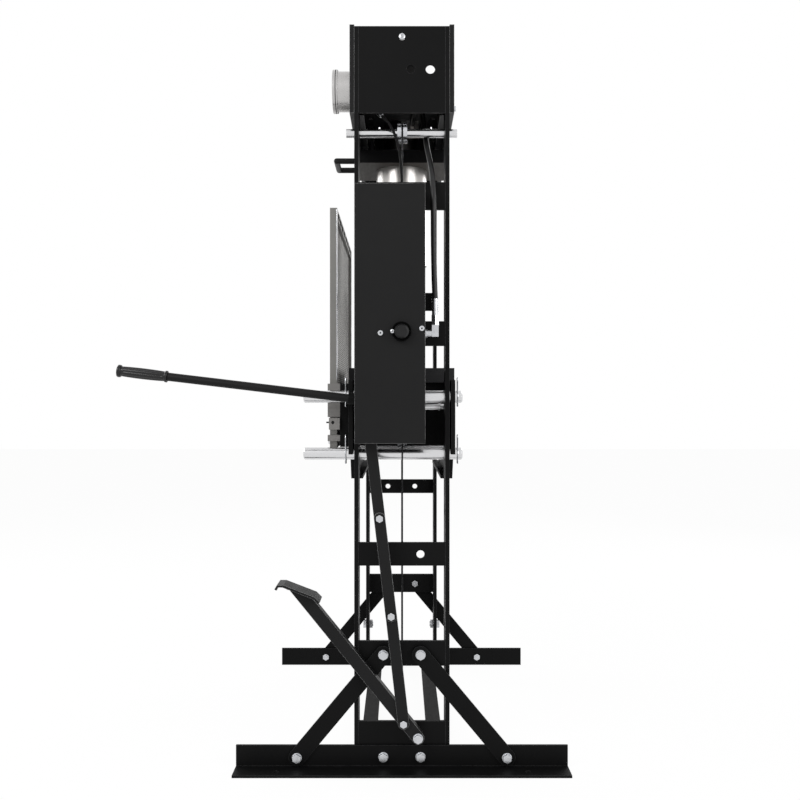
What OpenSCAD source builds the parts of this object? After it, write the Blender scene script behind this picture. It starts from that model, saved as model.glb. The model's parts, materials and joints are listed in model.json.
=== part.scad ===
// Workshop press with a sliding ram, a hand and foot pump, a guard and a cable-lifted bed.
// Width runs along X, the operator stands on the -Y side, Z is up and the floor is z = 0.
// The origin is on the floor, midway between the uprights and under the ram.

/* [Frame] */
// Width across the outer faces of the two uprights
frame_w = 860; // [800:5:960]
// Depth across the outer faces of the posts
frame_d = 231; // [226:1:250]
// Height of the posts
post_h = 1796; // [1780:2:1840]
// Width of a post, a flat bar
post_w = 85; // [80:1:95]
// Thickness of a post
post_t = 10; // [8:0.5:12]
// Thickness of the cross plates of the uprights
plate_t = 8; // [6:0.5:10]

/* [Head] */
// Drop from the top of the posts to the lower edge of the head beams
head_drop = 210; // [196:1:216]
// Height of the head beams
head_h = 214; // [190:1:230]
// Thickness of the head beams
head_t = 11.5; // [10:0.5:14]

/* [Feet] */
// Length of a foot, an angle iron
foot_len = 802; // [700:2:900]
// Height of the upright leg of a foot
foot_h = 56; // [50:1:70]
// Width of the flange of a foot on the floor
foot_w = 64; // [56:1:70]
// Thickness of the angle iron
foot_t = 6; // [5:0.5:8]
// Distance of the anchor holes from the middle of a foot
anchor_y = 300; // [270:5:330]
// Diameter of the anchor holes
anchor_d = 12; // [10:0.5:14]

/* [Bed] */
// Distance from the lower edge of the head beams down to the pins that carry the bed
bed_below = 828; // [820:1:836]
// Pitch of the holes in the posts
pin_pitch = 140; // [130:1:150]
// Diameter of the bed pins
pin_d = 30; // [24:0.5:34]
// Height of the bed beams at their ends, above the axis of the lower pins
bed_h = 180.5; // [175:0.5:190]
// Extra depth of the bed beams in the middle
bed_drop = 69; // [50:1:80]
// Thickness of the bed beams
bed_t = 10; // [8:0.5:12]
// Thickness of the arbor plates
arbor_t = 39.5; // [30:0.5:50]

/* [Ram] */
// Outer diameter of the cylinder
cyl_d = 144; // [130:1:160]
// Bore of the cylinder
cyl_bore = 110; // [90:1:115]
// Diameter of the piston rod
rod_d = 75; // [50:1:85]
// Stroke of the piston
stroke = 160; // [100:5:180]
// Half width of the ram carriage
carriage_hw = 105; // [90:1:120]

/* [Guard] */
// Half width of the guard
guard_hw = 343; // [330:1:344]
// Height of the lower edge of the guard above the axis of the lower bed pins
guard_up = 12; // [8:1:26]
// Height of the guard
guard_h = 604; // [500:2:640]
// Depth of the guard's frame section
guard_d = 18; // [16:0.5:20]

/* [Pump] */
// Depth of the pump cover from front to back
cover_d = 164; // [150:1:164]
// Height of the pump cover
cover_h = 603; // [560:1:640]
// Width of the pump cover, out from the upright
cover_w = 100; // [92:1:120]
// Height of the lower edge of the pump cover
cover_z = 789; // [780:1:795]
// Diameter of the release knob
knob_d = 46; // [30:1:60]

/* [Hand lever] */
// Diameter of the hand lever
lever_d = 20; // [14:0.5:24]
// Length of the lever outside its socket
lever_len = 552; // [400:1:700]
// Rise of the lever at rest, degrees
lever_tilt = 6.8; // [3:0.1:12]
// Length of the hand grip
grip_len = 120; // [90:1:150]

/* [Foot pedal] */
// Length of the pedal arm from its pivot to the pad
pedal_len = 436; // [400:1:460]
// Lean of the pedal arm from the horizontal, degrees
pedal_tilt = 50.85; // [48:0.05:54]
// Width of the pedal arm
pedal_w = 30; // [26:0.5:34]
// Width of the pull link's bars
link_w = 27; // [22:0.5:30]

/* [Cable and sheaves] */
// Diameter of the lifting cable
cable_d = 4; // [3:0.5:5]
// Outer diameter of the cable sheaves
sheave_d = 49; // [46:0.5:56]

/* [Hidden] */

// Colours
BLACK = "#1c1c1e";
SATIN = "#2a2a2d";
STEEL = "#b8bcc0";
ZINC = "#d2d5d8";
GREY = "#9a9890";
RUBBER = "#151516";

// Shared fits and overruns
cut = 2;              // how far a cutter runs past the face that it opens
run_fit = 0.05;       // radial gap of a shaft that turns or slides in its bore
loose_fit = 0.4;      // radial gap of a pin or a bolt in its hole
side_gap = 0.3;       // gap between faces that pass each other
body_fn = 64;
small_fn = 32;

// Places shared by many pieces
half_w = frame_w / 2;
head_z = post_h - head_drop;
pin_z = head_z - bed_below;
guard_z = pin_z + guard_up;
post_in = half_w - post_w;
face_y = frame_d / 2;
post_y = face_y - post_t;
web_x = half_w - plate_t;
pin_x = half_w - post_w / 2;
upper_pin_z = pin_z + pin_pitch;

// Fasteners: across flats, head height, shank, washer
m12_af = 19;
m12_head = 8;
m12_shank = 12;
m12_hole = m12_shank + 2 * loose_fit;
m12_washer_d = 24;
m12_washer_t = 2.5;
m12_nut = 10;
bolt_end = 2;           // length of a bolt past its nut
m10_af = 16;
m10_head = 7;
m16_af = 24;
m16_head = 10;
m16_shank = 16;
m8_head_d = 13;
m8_head = 5;
m8_shank = 8;
socket_d = 12;
socket_h = 5;
socket_key = 5;
socket_shank = 6;

// Cross plates of the uprights: height of the lower and upper edge
base_plate = [0, 112];
left_base_plate = [0, 78];
brace_plate = [246, 306.5];
mid_plate = [488.5, 545];
pump_plate = [1021, 1081];
upper_plate_drop = [235, 168];
upper_plate = [head_z - upper_plate_drop[0], head_z - upper_plate_drop[1]];
left_mid_plate = [578, 624];
winch_rise = 252;
winch_z = upper_pin_z + winch_rise;
winch_plate = [winch_z + 39, winch_z + 99];
head_plate_top = post_h;

// Bolt places on the uprights
bolt_y = 45;
brace_bolt_z = 276;
foot_bolt_z = 28;
brace_foot_y = 253;
mid_hole_z = 516;
mid_hole_d = 19.6;
left_hole_z = 601;
left_hole_d = 15.8;
post_bolt_z = 149;
head_bolt_x = 400;
head_bolt_z = head_z + 19;
// Holes of the head end plates: y, z and diameter
head_holes = [[0.5, head_z + 184, 16], [21, head_z + 106, 21], [69, head_z + 106, 23]];

// Braces
brace_w = 41;
brace_t = 6;
brace_x = half_w + foot_t;

// Base ties, angle irons between the uprights
tie_y0 = 62;
tie_y1 = 101;
tie_z = 50;
tie_t = 5;

// Head details
ledge_z = head_z + 20;
ledge_t = 12;
ledge_w = 20;
top_plate_t = 8;
top_plate_drop = 12;
top_hole_d = 14;
top_hole_x = 255;
top_hole_y = 98;
// Service slot of the top plate: its two corners
top_slot = [[80, 60], [226, 94]];
top_port = [[318, -8], [392, 10]];

// Bed details
bed_y0 = 119.5;
bed_y1 = bed_y0 + bed_t;
bed_top = pin_z + bed_h;
bed_flat = 78;          // length of the shallow end of a bed beam
bed_slope = 50;         // length of its sloping lower edge
bed_flange_w = 20;      // inward flange along its lower edge
bed_flange_t = 8;
spacer_x = 105;
spacer_t = 10;
spacer_top_gap = side_gap;
spacer_low = 28;        // its lower edge under the axis of the lower pins
rod_tie_x = 250;
rod_tie_z = pin_z + 114;
rod_tie_d = 16;
rod_collar_d = 21;
rod_collar_w = 5;
rod_collar_y = 96;
pin_front = 242;
pin_rear = 149;
pin_chamfer = 3;
clip_wire = 3.5;
clip_front_y = 138;
clip_rear_y = 137;
clip_up = 48;
clip_down = 24;
clip_loop_r = 6;
clip_turn = 55;

// Arbor plates
arbor_w = 110;
arbor_hy = 145;
arbor_x = 75;
arbor_v = 26;
arbor_v_y = 60;

// Sheaves and cable
cable_y = 1;
cable_r = cable_d / 2;
groove_w = cable_d + 1;
groove_depth = 7;
groove_r = sheave_d / 2 - groove_depth;
wrap_r = groove_r + side_gap + cable_r;
sheave_w = 24;
top_axle_d = 21;
top_axle_z = head_z - 38;
top_axle_front = 137;
top_axle_rear = 136;
top_nub_d = 6;
top_nub_h = 4;
top_nub_y = [-55, 73];
low_axle_d = 16;
foot_sheave_z = 58.5;
bed_sheave_x = 290;
bed_sheave_z = pin_z + 7;
cable_hole_d = 14;
cable_step = 18;
cable_sides = 8;

// Winch on the left upright
drum_r = 25;
drum_y = cable_y - drum_r - cable_r - side_gap;
drum_flange_r = 33;
drum_flange_t = 5;
winch_shaft_d = 16;
winch_wall = 4;
winch_x0 = 390;
winch_x1 = 470;
winch_hy = 46;
winch_drop = 48;
winch_ear_h = 56;
winch_bolt_y = 34;
crank_len = 150;
crank_w = 24;
crank_t = 8;
crank_gap = 12;
crank_grip_d = 26;
crank_grip_len = 78;

// Gauge
gauge_x = 359;
gauge_z = head_z + 74;
gauge_face = 171;
bezel_d = 105;
bezel_w = 12;
gauge_case_d = 97;
gauge_wall = 2.5;
gauge_stem_d = 14;
gauge_stem_in = 12.5;
dial_t = 1;
dial_y = 162;
glass_t = 3;
glass_y = 167.5;
needle_y = 164.2;
needle_t = 0.8;
needle_len = 38;
needle_tail = 12;
needle_w = 4;
needle_hub_d = 10;
needle_pin_d = 3;
needle_zero = 225;      // angle of the needle at rest, from the right, seen from the front

// Ram carriage
carriage_gap = 1;
carriage_t = 36;
carriage_z1 = head_z - carriage_gap;
carriage_z0 = carriage_z1 - carriage_t;
carriage_hy = 132;
cheek_y0 = 78;
cheek_t = 8;
cheek_h = 62;
shoe_hw = 18;
shoe_x = 77;
shoe_t = 16;
shoe_gap = 2;
shoe_y1 = post_y - shoe_gap;
spigot_d = 100;
spigot_h = 136;
port_block = 34;
port_z = head_z + 76;
port_y = 30;
port_x = 62;
port_end = 89;
feed_d = 8;
cyl_fn = 96;

// Handle of the carriage
handle_hx = 52;
handle_rod = 16;
handle_out = 192;
handle_z = head_z - 19;

// Cylinder, piston and nose
gland_h = 20;
gland_d = 122;
gland_thread = 28;
piston_t = 45;
piston_gap = 4;
cyl_head_t = 14;
bore_top = carriage_z0 - cyl_head_t;
stroke_spare = 23;      // what the piston could still travel at the end of its stroke
cyl_z0 = bore_top - piston_gap - piston_t - stroke - stroke_spare - gland_thread;
rod_out = 20;
nose_d = 95;
nose_h = 34;
nose_bore = 25;
nose_bore_h = 20;

// Guard and its guides
guard_front = 181;
guard_rail = 25;
panel_t = 3;
panel_rebate = 6;
guide_gap = 0.5;
guide_wall = 5;
guide_out = 9;
guide_lap = 13;
guide_rear = 155;
guide_rise = [[17, 32], [77, 115], [144, 161]];
guide_spans = [for (r = guide_rise) [guard_z + r[0], guard_z + r[1]]];
bracket_foot = 2;
bracket_span = [guard_z + bracket_foot, guide_spans[2][1]];
latch_rise = 64;
latch_z = guard_z + latch_rise;
latch_box_rise = [46, 75];
latch_box = [guard_z + latch_box_rise[0], guard_z + latch_box_rise[1]];
latch_d = 8;
latch_reach = 5;
latch_box_w = 22;
latch_box_front = 182;
latch_len = 17;
latch_arm_d = 4;
latch_arm_tip = 189;
latch_slot_in = 4;
latch_slot = 14;

// Pump cover and what is behind it
cover_front = 110;
cover_wall = 2;
cover_x1 = half_w + cover_w;
cover_y1 = cover_d - cover_front;
slot_w = 34;
slot_z0 = 828;
slot_z1 = 917;
link_slot_w = 26;
link_slot_y0 = -104;
link_slot_y1 = -50;
screw_places = [[-50, 1045], [46, 1055.5]];
block_x0 = half_w;
block_x1 = 506;
block_y0 = -58;
block_y1 = 51;
block_z0 = 930;
block_z1 = 1106;
ear_t = 9;
ear_r = 15;
tank_x0 = 437;
tank_x1 = 518;
tank_y0 = -100;
tank_y1 = 44;
tank_top = 1340;
tank_wall = 3;
tank_cap_d = 40;
tank_cap_h = 16;
plunger_d = 16;
plunger_bore_h = 90;
knob_y = -1;
knob_z = block_z0 + 118;
knob_gap = 3;
knob_h = 22;
knob_stem_d = 12;
knob_bore_h = 40;
knob_base_h = 11;
knob_cap_d = 34;
knob_top_d = 26;
knob_shoulder_h = 17;
knob_arm_len = 21;
knob_arm_w = 14;
knob_arm_t = 5;
knob_bolt_d = 9;
knob_bolt_rise = 2;

// Rocker, lever and link
link_x = 470.5;
link_t = 5;
rocker_y = -28;
rocker_z = 860;
rocker_arm = 54.8;
rocker_t = 6;
rocker_pin_d = 14;
rocker_r = 14;
boss_lip = 1;
cheek_x = link_t / 2 + side_gap;
ear_gap = cheek_x + rocker_t + side_gap;
link_pin_d = 10;
slot_play_y = 0.6;
slot_play_z = 2.2;
nose_arm = 21;
nose_r = 8;
socket_out = 28;
socket_front = 128;
socket_rear = 50;
socket_floor = 6;
lever_z = 895;
lever_ref_y = 135;
grip_d = 28;
grip_end_d = 30;
grip_end_w = 9;
grip_lip_w = 6;
grip_neck_d = 24;
grip_cap = 4;
pedal_y = 38.4;
pedal_z = 84.4;
pedal_leg_t = 5.5;
pedal_x0 = link_x - link_t / 2 - side_gap - pedal_leg_t;
pivot_spacer_d = 18;
pedal_flange_w = 23;
pedal_flange_t = 5;
link_low = [3.8, 120.3];
link_mid = [-25.5, 377];
link_high = [-53.1, 608.7];
link_top = [rocker_y - rocker_arm, rocker_z];
// Side profile of the pedal pad's upper face: y and z
pad_top = [[-300, 445], [-294, 455], [-279, 455], [-206, 427], [-193, 414]];
pad_t = 6;
pad_x0 = 434;
pad_x1 = 498;
pad_web_back = 12;
pad_web_drop = 12;
pad_clear = 60;
pad_reach = 34;         // length of the arm past its stated end, trimmed by the pad

// Hose and line fittings
fit_x = 470;
fit_y = 79;
fit_z = 1048;
fit_d = 15.5;
elbow_w = 16;
fit_collar_d = 19;
fit_collar_w = 6;
nut_d = 17;
nut_z0 = 1068;
nut_z1 = 1092;
ferrule_d = 15.5;
ferrule_z1 = 1131;
hose_d = 13;
hose_sides = 10;
line_d = 6.5;
line_sides = 8;
union_d = 13;
union_gap = 0.4;
union_len = 14;

hose_low = [[470, 79, 0], [470, 77, 0.161], [470, 75.5, 0.423], [468, 75, 0.652], [456, 74.5, 0.843]];
hose_mid = [[432, 73, -150], [400, 68, -106], [367, 62, -62], [345, 57, -14], [322, 52, 32], [285, 47, 62]];
hose_last = [[235, 40, -1], [180, 33, 0], [130, 30, 0], [port_end + 0.1, 30, 0]];
// Height at a share of the way from the ferrule up to the head
function hose_rise(share) = ferrule_z1 + share * (head_z + hose_mid[0][2] - ferrule_z1);
// Route of the hydraulic hose, from the ferrule to the port of the cylinder
hose_route = concat(
    [for (p = hose_low) [p[0], p[1], hose_rise(p[2])]],
    [for (p = hose_mid) [p[0], p[1], head_z + p[2]]],
    [for (p = hose_last) [p[0], p[1], port_z + p[2]]]);
line_z0 = 1124;
function line_rise(share) = line_z0 + share * (head_z - 104 - line_z0);
// Route of the gauge line, from the pump to the gauge
line_route = [
    [430, 0, 1094], [423, 0, 1096], [417, 0, 1104], [414, 0, line_z0],
    [414, 0, line_rise(0.492)], [414, 0, line_rise(0.827)], [414, -4, head_z - 104],
    [414, -13, head_z - 61], [413, -28, head_z - 26], [412, -44, head_z - 7],
    [411, -54, head_z + 3], [410, -64, head_z + 13], [402, -70, head_z + 32],
    [382, -72, head_z + 56], [365, -75, head_z + 70], [359, -84, gauge_z], [359, -92.5, gauge_z]
];
union_at = [411, -54, head_z + 3];
union_dir = [-1, -10, 10];

// Helpers
module block(a, b) { translate(a) cube(b - a); }
module rod_x(d, x0, x1, y, z, fn = small_fn) {
    translate([x0, y, z]) rotate([0, 90, 0]) cylinder(d = d, h = x1 - x0, $fn = fn);
}
module rod_y(d, y0, y1, x, z, fn = small_fn) {
    translate([x, y0, z]) rotate([-90, 0, 0]) cylinder(d = d, h = y1 - y0, $fn = fn);
}
module rod_z(d, z0, z1, x, y, fn = small_fn) {
    translate([x, y, z0]) cylinder(d = d, h = z1 - z0, $fn = fn);
}
// Hexagon prism along X, measured across its flats
module hex_x(af, x0, x1, y, z) {
    translate([x0, y, z]) rotate([0, 90, 0]) cylinder(d = af / cos(30), h = x1 - x0, $fn = 6);
}
module hex_y(af, y0, y1, x, z) {
    translate([x, y0, z]) rotate([-90, 0, 0]) cylinder(d = af / cos(30), h = y1 - y0, $fn = 6);
}
// Outline in Y and Z, extruded along X
module plate_x(x0, x1) {
    translate([x0, 0, 0]) rotate([90, 0, 90]) linear_extrude(x1 - x0) children();
}
// Outline in X and Z, extruded along Y
module plate_y(y0, y1) {
    translate([0, y1, 0]) rotate([90, 0, 0]) linear_extrude(y1 - y0) children();
}
module both_sides() {
    children();
    mirror([1, 0, 0]) children();
}
// Straight bar with round ends between two points of a plane
module bar_2d(a, b, w) {
    d = b - a;
    translate(a) rotate(atan2(d[1], d[0])) {
        translate([0, -w / 2]) square([norm(d), w]);
        circle(d = w, $fn = small_fn);
        translate([norm(d), 0]) circle(d = w, $fn = small_fn);
    }
}

// Smooth curve through the points of a route
function spline_at(p, i, t) =
    let (n = len(p) - 1, a = p[max(i - 1, 0)], b = p[i], c = p[min(i + 1, n)],
         d = p[min(i + 2, n)])
    b + t / 2 * (c - a + t * (2 * a - 5 * b + 4 * c - d + t * (3 * b - 3 * c + d - a)));
function smooth(p, steps) =
    concat([for (i = [0 : len(p) - 2]) for (s = [0 : steps - 1]) spline_at(p, i, s / steps)],
           [p[len(p) - 1]]);
function unit(v) = v / norm(v);
// Turns Z to the direction v
module aim(v) { rotate([0, acos(unit(v)[2]), atan2(v[1], v[0])]) children(); }
// Direction of a route at each of its points
function heading(p, i) =
    let (n = len(p) - 1) unit(p[min(i + 1, n)] - p[max(i - 1, 0)]);
// Round tube along a route; the side vector never lies along the route
module tube(p, d, sides, side) {
    n = len(p);
    rings = [for (i = [0 : n - 1])
        let (h = heading(p, i), u = unit(cross(h, side)), v = cross(h, u))
        for (k = [0 : sides - 1])
            p[i] + d / 2 * (cos(360 * k / sides) * u + sin(360 * k / sides) * v)];
    walls = [for (i = [0 : n - 2]) for (k = [0 : sides - 1])
        let (a = i * sides + k, b = i * sides + (k + 1) % sides)
        each [[a, a + sides, b], [b, a + sides, b + sides]]];
    first = [for (k = [1 : sides - 2]) [0, k, k + 1]];
    last = [for (k = [1 : sides - 2])
        let (a = (n - 1) * sides) [a, a + k + 1, a + k]];
    polyhedron(rings, concat(walls, first, last));
}

// Arc in the X-Z plane at the depth of the cable
function arc_xz(c, r, a0, a1, step) =
    let (n = ceil(abs(a1 - a0) / step))
    [for (i = [0 : n])
        let (a = a0 + (a1 - a0) * i / n) [c[0] + r * cos(a), cable_y, c[1] + r * sin(a)]];

// Uprights
module post_pair() {
    for (s = [-1, 1]) difference() {
        block([post_in, s > 0 ? post_y : -face_y, 0], [half_w, s > 0 ? face_y : -post_y, post_h]);
        for (k = [-3 : 3])
            rod_y(pin_d + 2 * loose_fit, -face_y - cut, face_y + cut, pin_x,
                  pin_z + k * pin_pitch, body_fn);
        children();
    }
}
module right_posts() {
    color(BLACK) post_pair() {
        union() {
            rod_y(top_axle_d + 2 * loose_fit, -face_y - cut, face_y + cut, pin_x, top_axle_z);
            rod_y(gauge_stem_d + 2 * loose_fit, -face_y - cut, 0, gauge_x, gauge_z);
        }
    }
}
module left_posts() {
    color(BLACK) mirror([1, 0, 0]) post_pair()
        rod_y(m16_shank + 2 * loose_fit, -face_y - cut, face_y + cut, pin_x, post_bolt_z);
}
module cross_plate(span, holes = []) {
    difference() {
        block([web_x, -post_y, span[0]], [half_w, post_y, span[1]]);
        for (h = holes) rod_x(h[2], web_x - cut, half_w + cut, h[0], h[1]);
    }
}
function pair_holes(z, d) = [[-bolt_y, z, d], [bolt_y, z, d]];
module shared_plates() {
    cross_plate(brace_plate, pair_holes(brace_bolt_z, m12_hole));
    cross_plate([head_z, head_plate_top], head_holes);
}
module right_cross_plates() {
    color(BLACK) {
        shared_plates();
        cross_plate(base_plate, concat(pair_holes(foot_bolt_z, m12_hole),
                                       [[pedal_y, pedal_z, m12_hole]]));
        cross_plate(mid_plate, pair_holes(mid_hole_z, mid_hole_d));
        cross_plate(pump_plate);
        cross_plate(upper_plate);
    }
}
module left_cross_plates() {
    color(BLACK) mirror([1, 0, 0]) {
        shared_plates();
        cross_plate(left_base_plate, pair_holes(foot_bolt_z, m12_hole));
        cross_plate(left_mid_plate, pair_holes(left_hole_z, left_hole_d));
        cross_plate(winch_plate);
    }
}

// Head beams with the ledges that carry the ram carriage
module head_beam(s) {
    y0 = s > 0 ? face_y : -face_y - head_t;
    difference() {
        union() {
            block([-half_w, y0, head_z], [half_w, y0 + head_t, head_z + head_h]);
            block([-post_in, s > 0 ? face_y - ledge_w : -face_y, ledge_z],
                  [post_in, s > 0 ? face_y : ledge_w - face_y, ledge_z + ledge_t]);
        }
        children();
    }
}
module front_head_beam() {
    color(BLACK) head_beam(-1)
        rod_y(gauge_stem_d + 2 * loose_fit, -face_y - head_t - cut, -face_y + cut,
              gauge_x, gauge_z);
}
module rear_head_beam() {
    color(BLACK) head_beam(1)
        both_sides() rod_y(m8_shank, face_y, face_y + head_t + cut, head_bolt_x, head_bolt_z);
}
module head_top_plate() {
    z1 = head_z + head_h - top_plate_drop;
    x1 = web_x - side_gap;
    y1 = post_y - side_gap;
    color(BLACK) difference() {
        union() {
            block([-post_in, -face_y, z1 - top_plate_t], [post_in, face_y, z1]);
            block([-x1, -y1, z1 - top_plate_t], [x1, y1, z1]);
        }
        for (s = [top_slot, top_port])
            block([s[0][0], s[0][1], z1 - top_plate_t - cut], [s[1][0], s[1][1], z1 + cut]);
        for (x = [-top_hole_x, top_hole_x], y = [-top_hole_y, top_hole_y])
            rod_z(top_hole_d, z1 - top_plate_t - cut, z1 + cut, x, y);
    }
}

// Feet, braces and ties
anchor_share = 0.65;
anchor_x = half_w + foot_w * anchor_share;
module foot() {
    difference() {
        union() {
            block([half_w, -foot_len / 2, 0], [half_w + foot_t, foot_len / 2, foot_h]);
            block([half_w, -foot_len / 2, 0], [half_w + foot_w, foot_len / 2, foot_t]);
        }
        for (y = [-brace_foot_y, -bolt_y, bolt_y, brace_foot_y])
            rod_x(m12_hole, half_w - cut, brace_x + cut, y, foot_bolt_z);
        for (y = [-anchor_y, anchor_y]) rod_z(anchor_d, -cut, foot_t + cut, anchor_x, y);
    }
}
module right_foot() { color(BLACK) foot(); }
module left_foot() { color(BLACK) mirror([1, 0, 0]) foot(); }
module side_braces() {
    color(BLACK) both_sides() for (s = [-1, 1]) plate_x(brace_x, brace_x + brace_t)
        difference() {
            bar_2d([s * bolt_y, brace_bolt_z], [s * brace_foot_y, foot_bolt_z], brace_w);
            for (p = [[s * bolt_y, brace_bolt_z], [s * brace_foot_y, foot_bolt_z]])
                translate(p) circle(d = m12_hole, $fn = small_fn);
        }
}
module base_ties() {
    color(BLACK) for (s = [-1, 1]) scale([1, s, 1]) {
        block([-web_x, tie_y0, tie_z - tie_t], [web_x, tie_y1, tie_z]);
        block([-web_x, tie_y1 - tie_t, 0], [web_x, tie_y1, tie_z]);
    }
}

// Bolts, washers and nuts of the frame and the pump cover
module bolt_x(y, z, x_nut, x_head) {
    rod_x(m12_shank, x_nut - m12_nut - bolt_end, x_head + m12_washer_t, y, z);
    rod_x(m12_washer_d, x_head, x_head + m12_washer_t, y, z);
    hex_x(m12_af, x_head + m12_washer_t, x_head + m12_washer_t + m12_head, y, z);
    hex_x(m12_af, x_nut - m12_nut, x_nut, y, z);
}
module upright_bolts() {
    for (y = [-bolt_y, bolt_y]) {
        bolt_x(y, brace_bolt_z, web_x, brace_x + brace_t);
        rod_x(m12_washer_d, half_w, brace_x, y, brace_bolt_z);
        bolt_x(y, foot_bolt_z, web_x, brace_x);
    }
    for (y = [-brace_foot_y, brace_foot_y]) bolt_x(y, foot_bolt_z, half_w, brace_x + brace_t);
}
module pedal_pivot() {
    x1 = pedal_x0 + pedal_leg_t + side_gap;
    rod_x(m12_shank, web_x - m12_nut - bolt_end, x1 + m12_washer_t, pedal_y, pedal_z, body_fn);
    rod_x(pivot_spacer_d, half_w, pedal_x0 - side_gap, pedal_y, pedal_z);
    rod_x(m12_washer_d, x1, x1 + m12_washer_t, pedal_y, pedal_z);
    hex_x(m12_af, x1 + m12_washer_t, x1 + m12_washer_t + m12_head, pedal_y, pedal_z);
    hex_x(m12_af, web_x - m12_nut, web_x, pedal_y, pedal_z);
}
module post_bolt(s) {
    y = s > 0 ? face_y : -face_y - m16_head;
    tip = post_y - m16_head - bolt_end;
    rod_y(m16_shank, s > 0 ? tip : -face_y, s > 0 ? face_y : -tip, -pin_x, post_bolt_z);
    hex_y(m16_af, y, y + m16_head, -pin_x, post_bolt_z);
    hex_y(m16_af, s > 0 ? post_y - m16_head : -post_y, s > 0 ? post_y : m16_head - post_y,
          -pin_x, post_bolt_z);
}
module cover_screw(p) {
    difference() {
        rod_x(socket_d, cover_x1, cover_x1 + socket_h, p[0], p[1]);
        hex_x(socket_key, cover_x1 + socket_h / 2, cover_x1 + socket_h + cut, p[0], p[1]);
    }
    rod_x(socket_shank, block_x1, cover_x1, p[0], p[1]);
}
module frame_bolts() {
    color(ZINC) {
        both_sides() upright_bolts();
        pedal_pivot();
        for (s = [-1, 1]) post_bolt(s);
        both_sides() {
            rod_y(m8_head_d, face_y + head_t, face_y + head_t + m8_head, head_bolt_x, head_bolt_z);
            rod_y(m8_shank, face_y, face_y + head_t, head_bolt_x, head_bolt_z);
        }
        for (p = screw_places) cover_screw(p);
    }
}

// Bed
module bed_outline() {
    x1 = half_w - bed_flat;
    x2 = x1 - bed_slope;
    low = pin_z - bed_drop;
    polygon([[-half_w, bed_top], [-half_w, pin_z], [-x1, pin_z], [-x2, low],
             [x2, low], [x1, pin_z], [half_w, pin_z], [half_w, bed_top]]);
}
module bed_beam(y0) {
    low = pin_z - bed_drop;
    x1 = half_w - bed_flat - bed_slope;
    s = sign(y0);
    scale([1, s, 1]) block([-x1, bed_y0 - bed_flange_w, low], [x1, bed_y1, low + bed_flange_t]);
    plate_y(y0, y0 + bed_t) difference() {
        bed_outline();
        for (x = [-pin_x, pin_x], z = [pin_z, upper_pin_z])
            translate([x, z]) circle(d = pin_d + 2 * loose_fit, $fn = body_fn);
    }
}
module bed_front_beam() { color(BLACK) bed_beam(-bed_y1); }
module bed_rear_beam() { color(BLACK) bed_beam(bed_y0); }
module bed_spacers() {
    color(BLACK) for (s = [-1, 1]) difference() {
        block([s * spacer_x - spacer_t / 2, -bed_y0, pin_z - spacer_low],
              [s * spacer_x + spacer_t / 2, bed_y0, bed_top - spacer_top_gap]);
        rod_x(cable_hole_d, s * spacer_x - spacer_t, s * spacer_x + spacer_t, cable_y,
              bed_sheave_z - wrap_r);
    }
}
module bed_tie_rods() {
    color(STEEL) for (s = [-1, 1]) {
        rod_y(rod_tie_d, -bed_y0, bed_y0, s * rod_tie_x, rod_tie_z);
        for (y = [-rod_collar_y - rod_collar_w, rod_collar_y])
            rod_y(rod_collar_d, y, y + rod_collar_w, s * rod_tie_x, rod_tie_z);
    }
}
module bed_pin(x, z) {
    difference() {
        translate([x, -pin_front, z]) rotate([-90, 0, 0]) rotate_extrude($fn = body_fn)
            polygon([[0, 0], [pin_d / 2 - pin_chamfer, 0], [pin_d / 2, pin_chamfer],
                     [pin_d / 2, pin_front + pin_rear - pin_chamfer],
                     [pin_d / 2 - pin_chamfer, pin_front + pin_rear],
                     [0, pin_front + pin_rear]]);
        for (y = [-clip_front_y, clip_rear_y])
            rod_z(clip_wire + 2 * side_gap, z - pin_d, z + pin_d, x, y);
    }
}
module bed_pins() {
    color(STEEL) for (x = [-pin_x, pin_x], z = [pin_z, upper_pin_z]) bed_pin(x, z);
}
// Route of a clip's wire seen from the front: straight leg, eye and the leg round the pin
function clip_route(x, y, z) =
    let (r = pin_d / 2 + clip_wire / 2 + side_gap, e = clip_up - clip_loop_r - clip_wire / 2)
    concat([[x, y, z - clip_down], [x, y, z + e]],
        [for (a = [150 : -30 : 0])
            [x + clip_loop_r + clip_loop_r * cos(a), y, z + e + clip_loop_r * sin(a)]],
        [for (a = [clip_turn : -18 : -clip_turn]) [x + r * cos(a), y, z + r * sin(a)]],
        [[x + r, y, z - clip_down]]);
module pin_clips() {
    color(ZINC) for (x = [-pin_x, pin_x], z = [pin_z, upper_pin_z], y = [-clip_front_y, clip_rear_y])
        tube(clip_route(x, y, z), clip_wire, line_sides, [0, 1, 0]);
}
module arbor_plate() {
    z1 = bed_top + arbor_t;
    color(SATIN) difference() {
        block([arbor_x - arbor_w / 2, -arbor_hy, bed_top], [arbor_x + arbor_w / 2, arbor_hy, z1]);
        for (y = [-arbor_v_y, arbor_v_y]) translate([arbor_x - arbor_w / 2, y, bed_top - cut])
            linear_extrude(arbor_t + 2 * cut) rotate(45) square(arbor_v, center = true);
    }
}
module right_arbor_plate() { arbor_plate(); }
module left_arbor_plate() { mirror([1, 0, 0]) arbor_plate(); }

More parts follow.
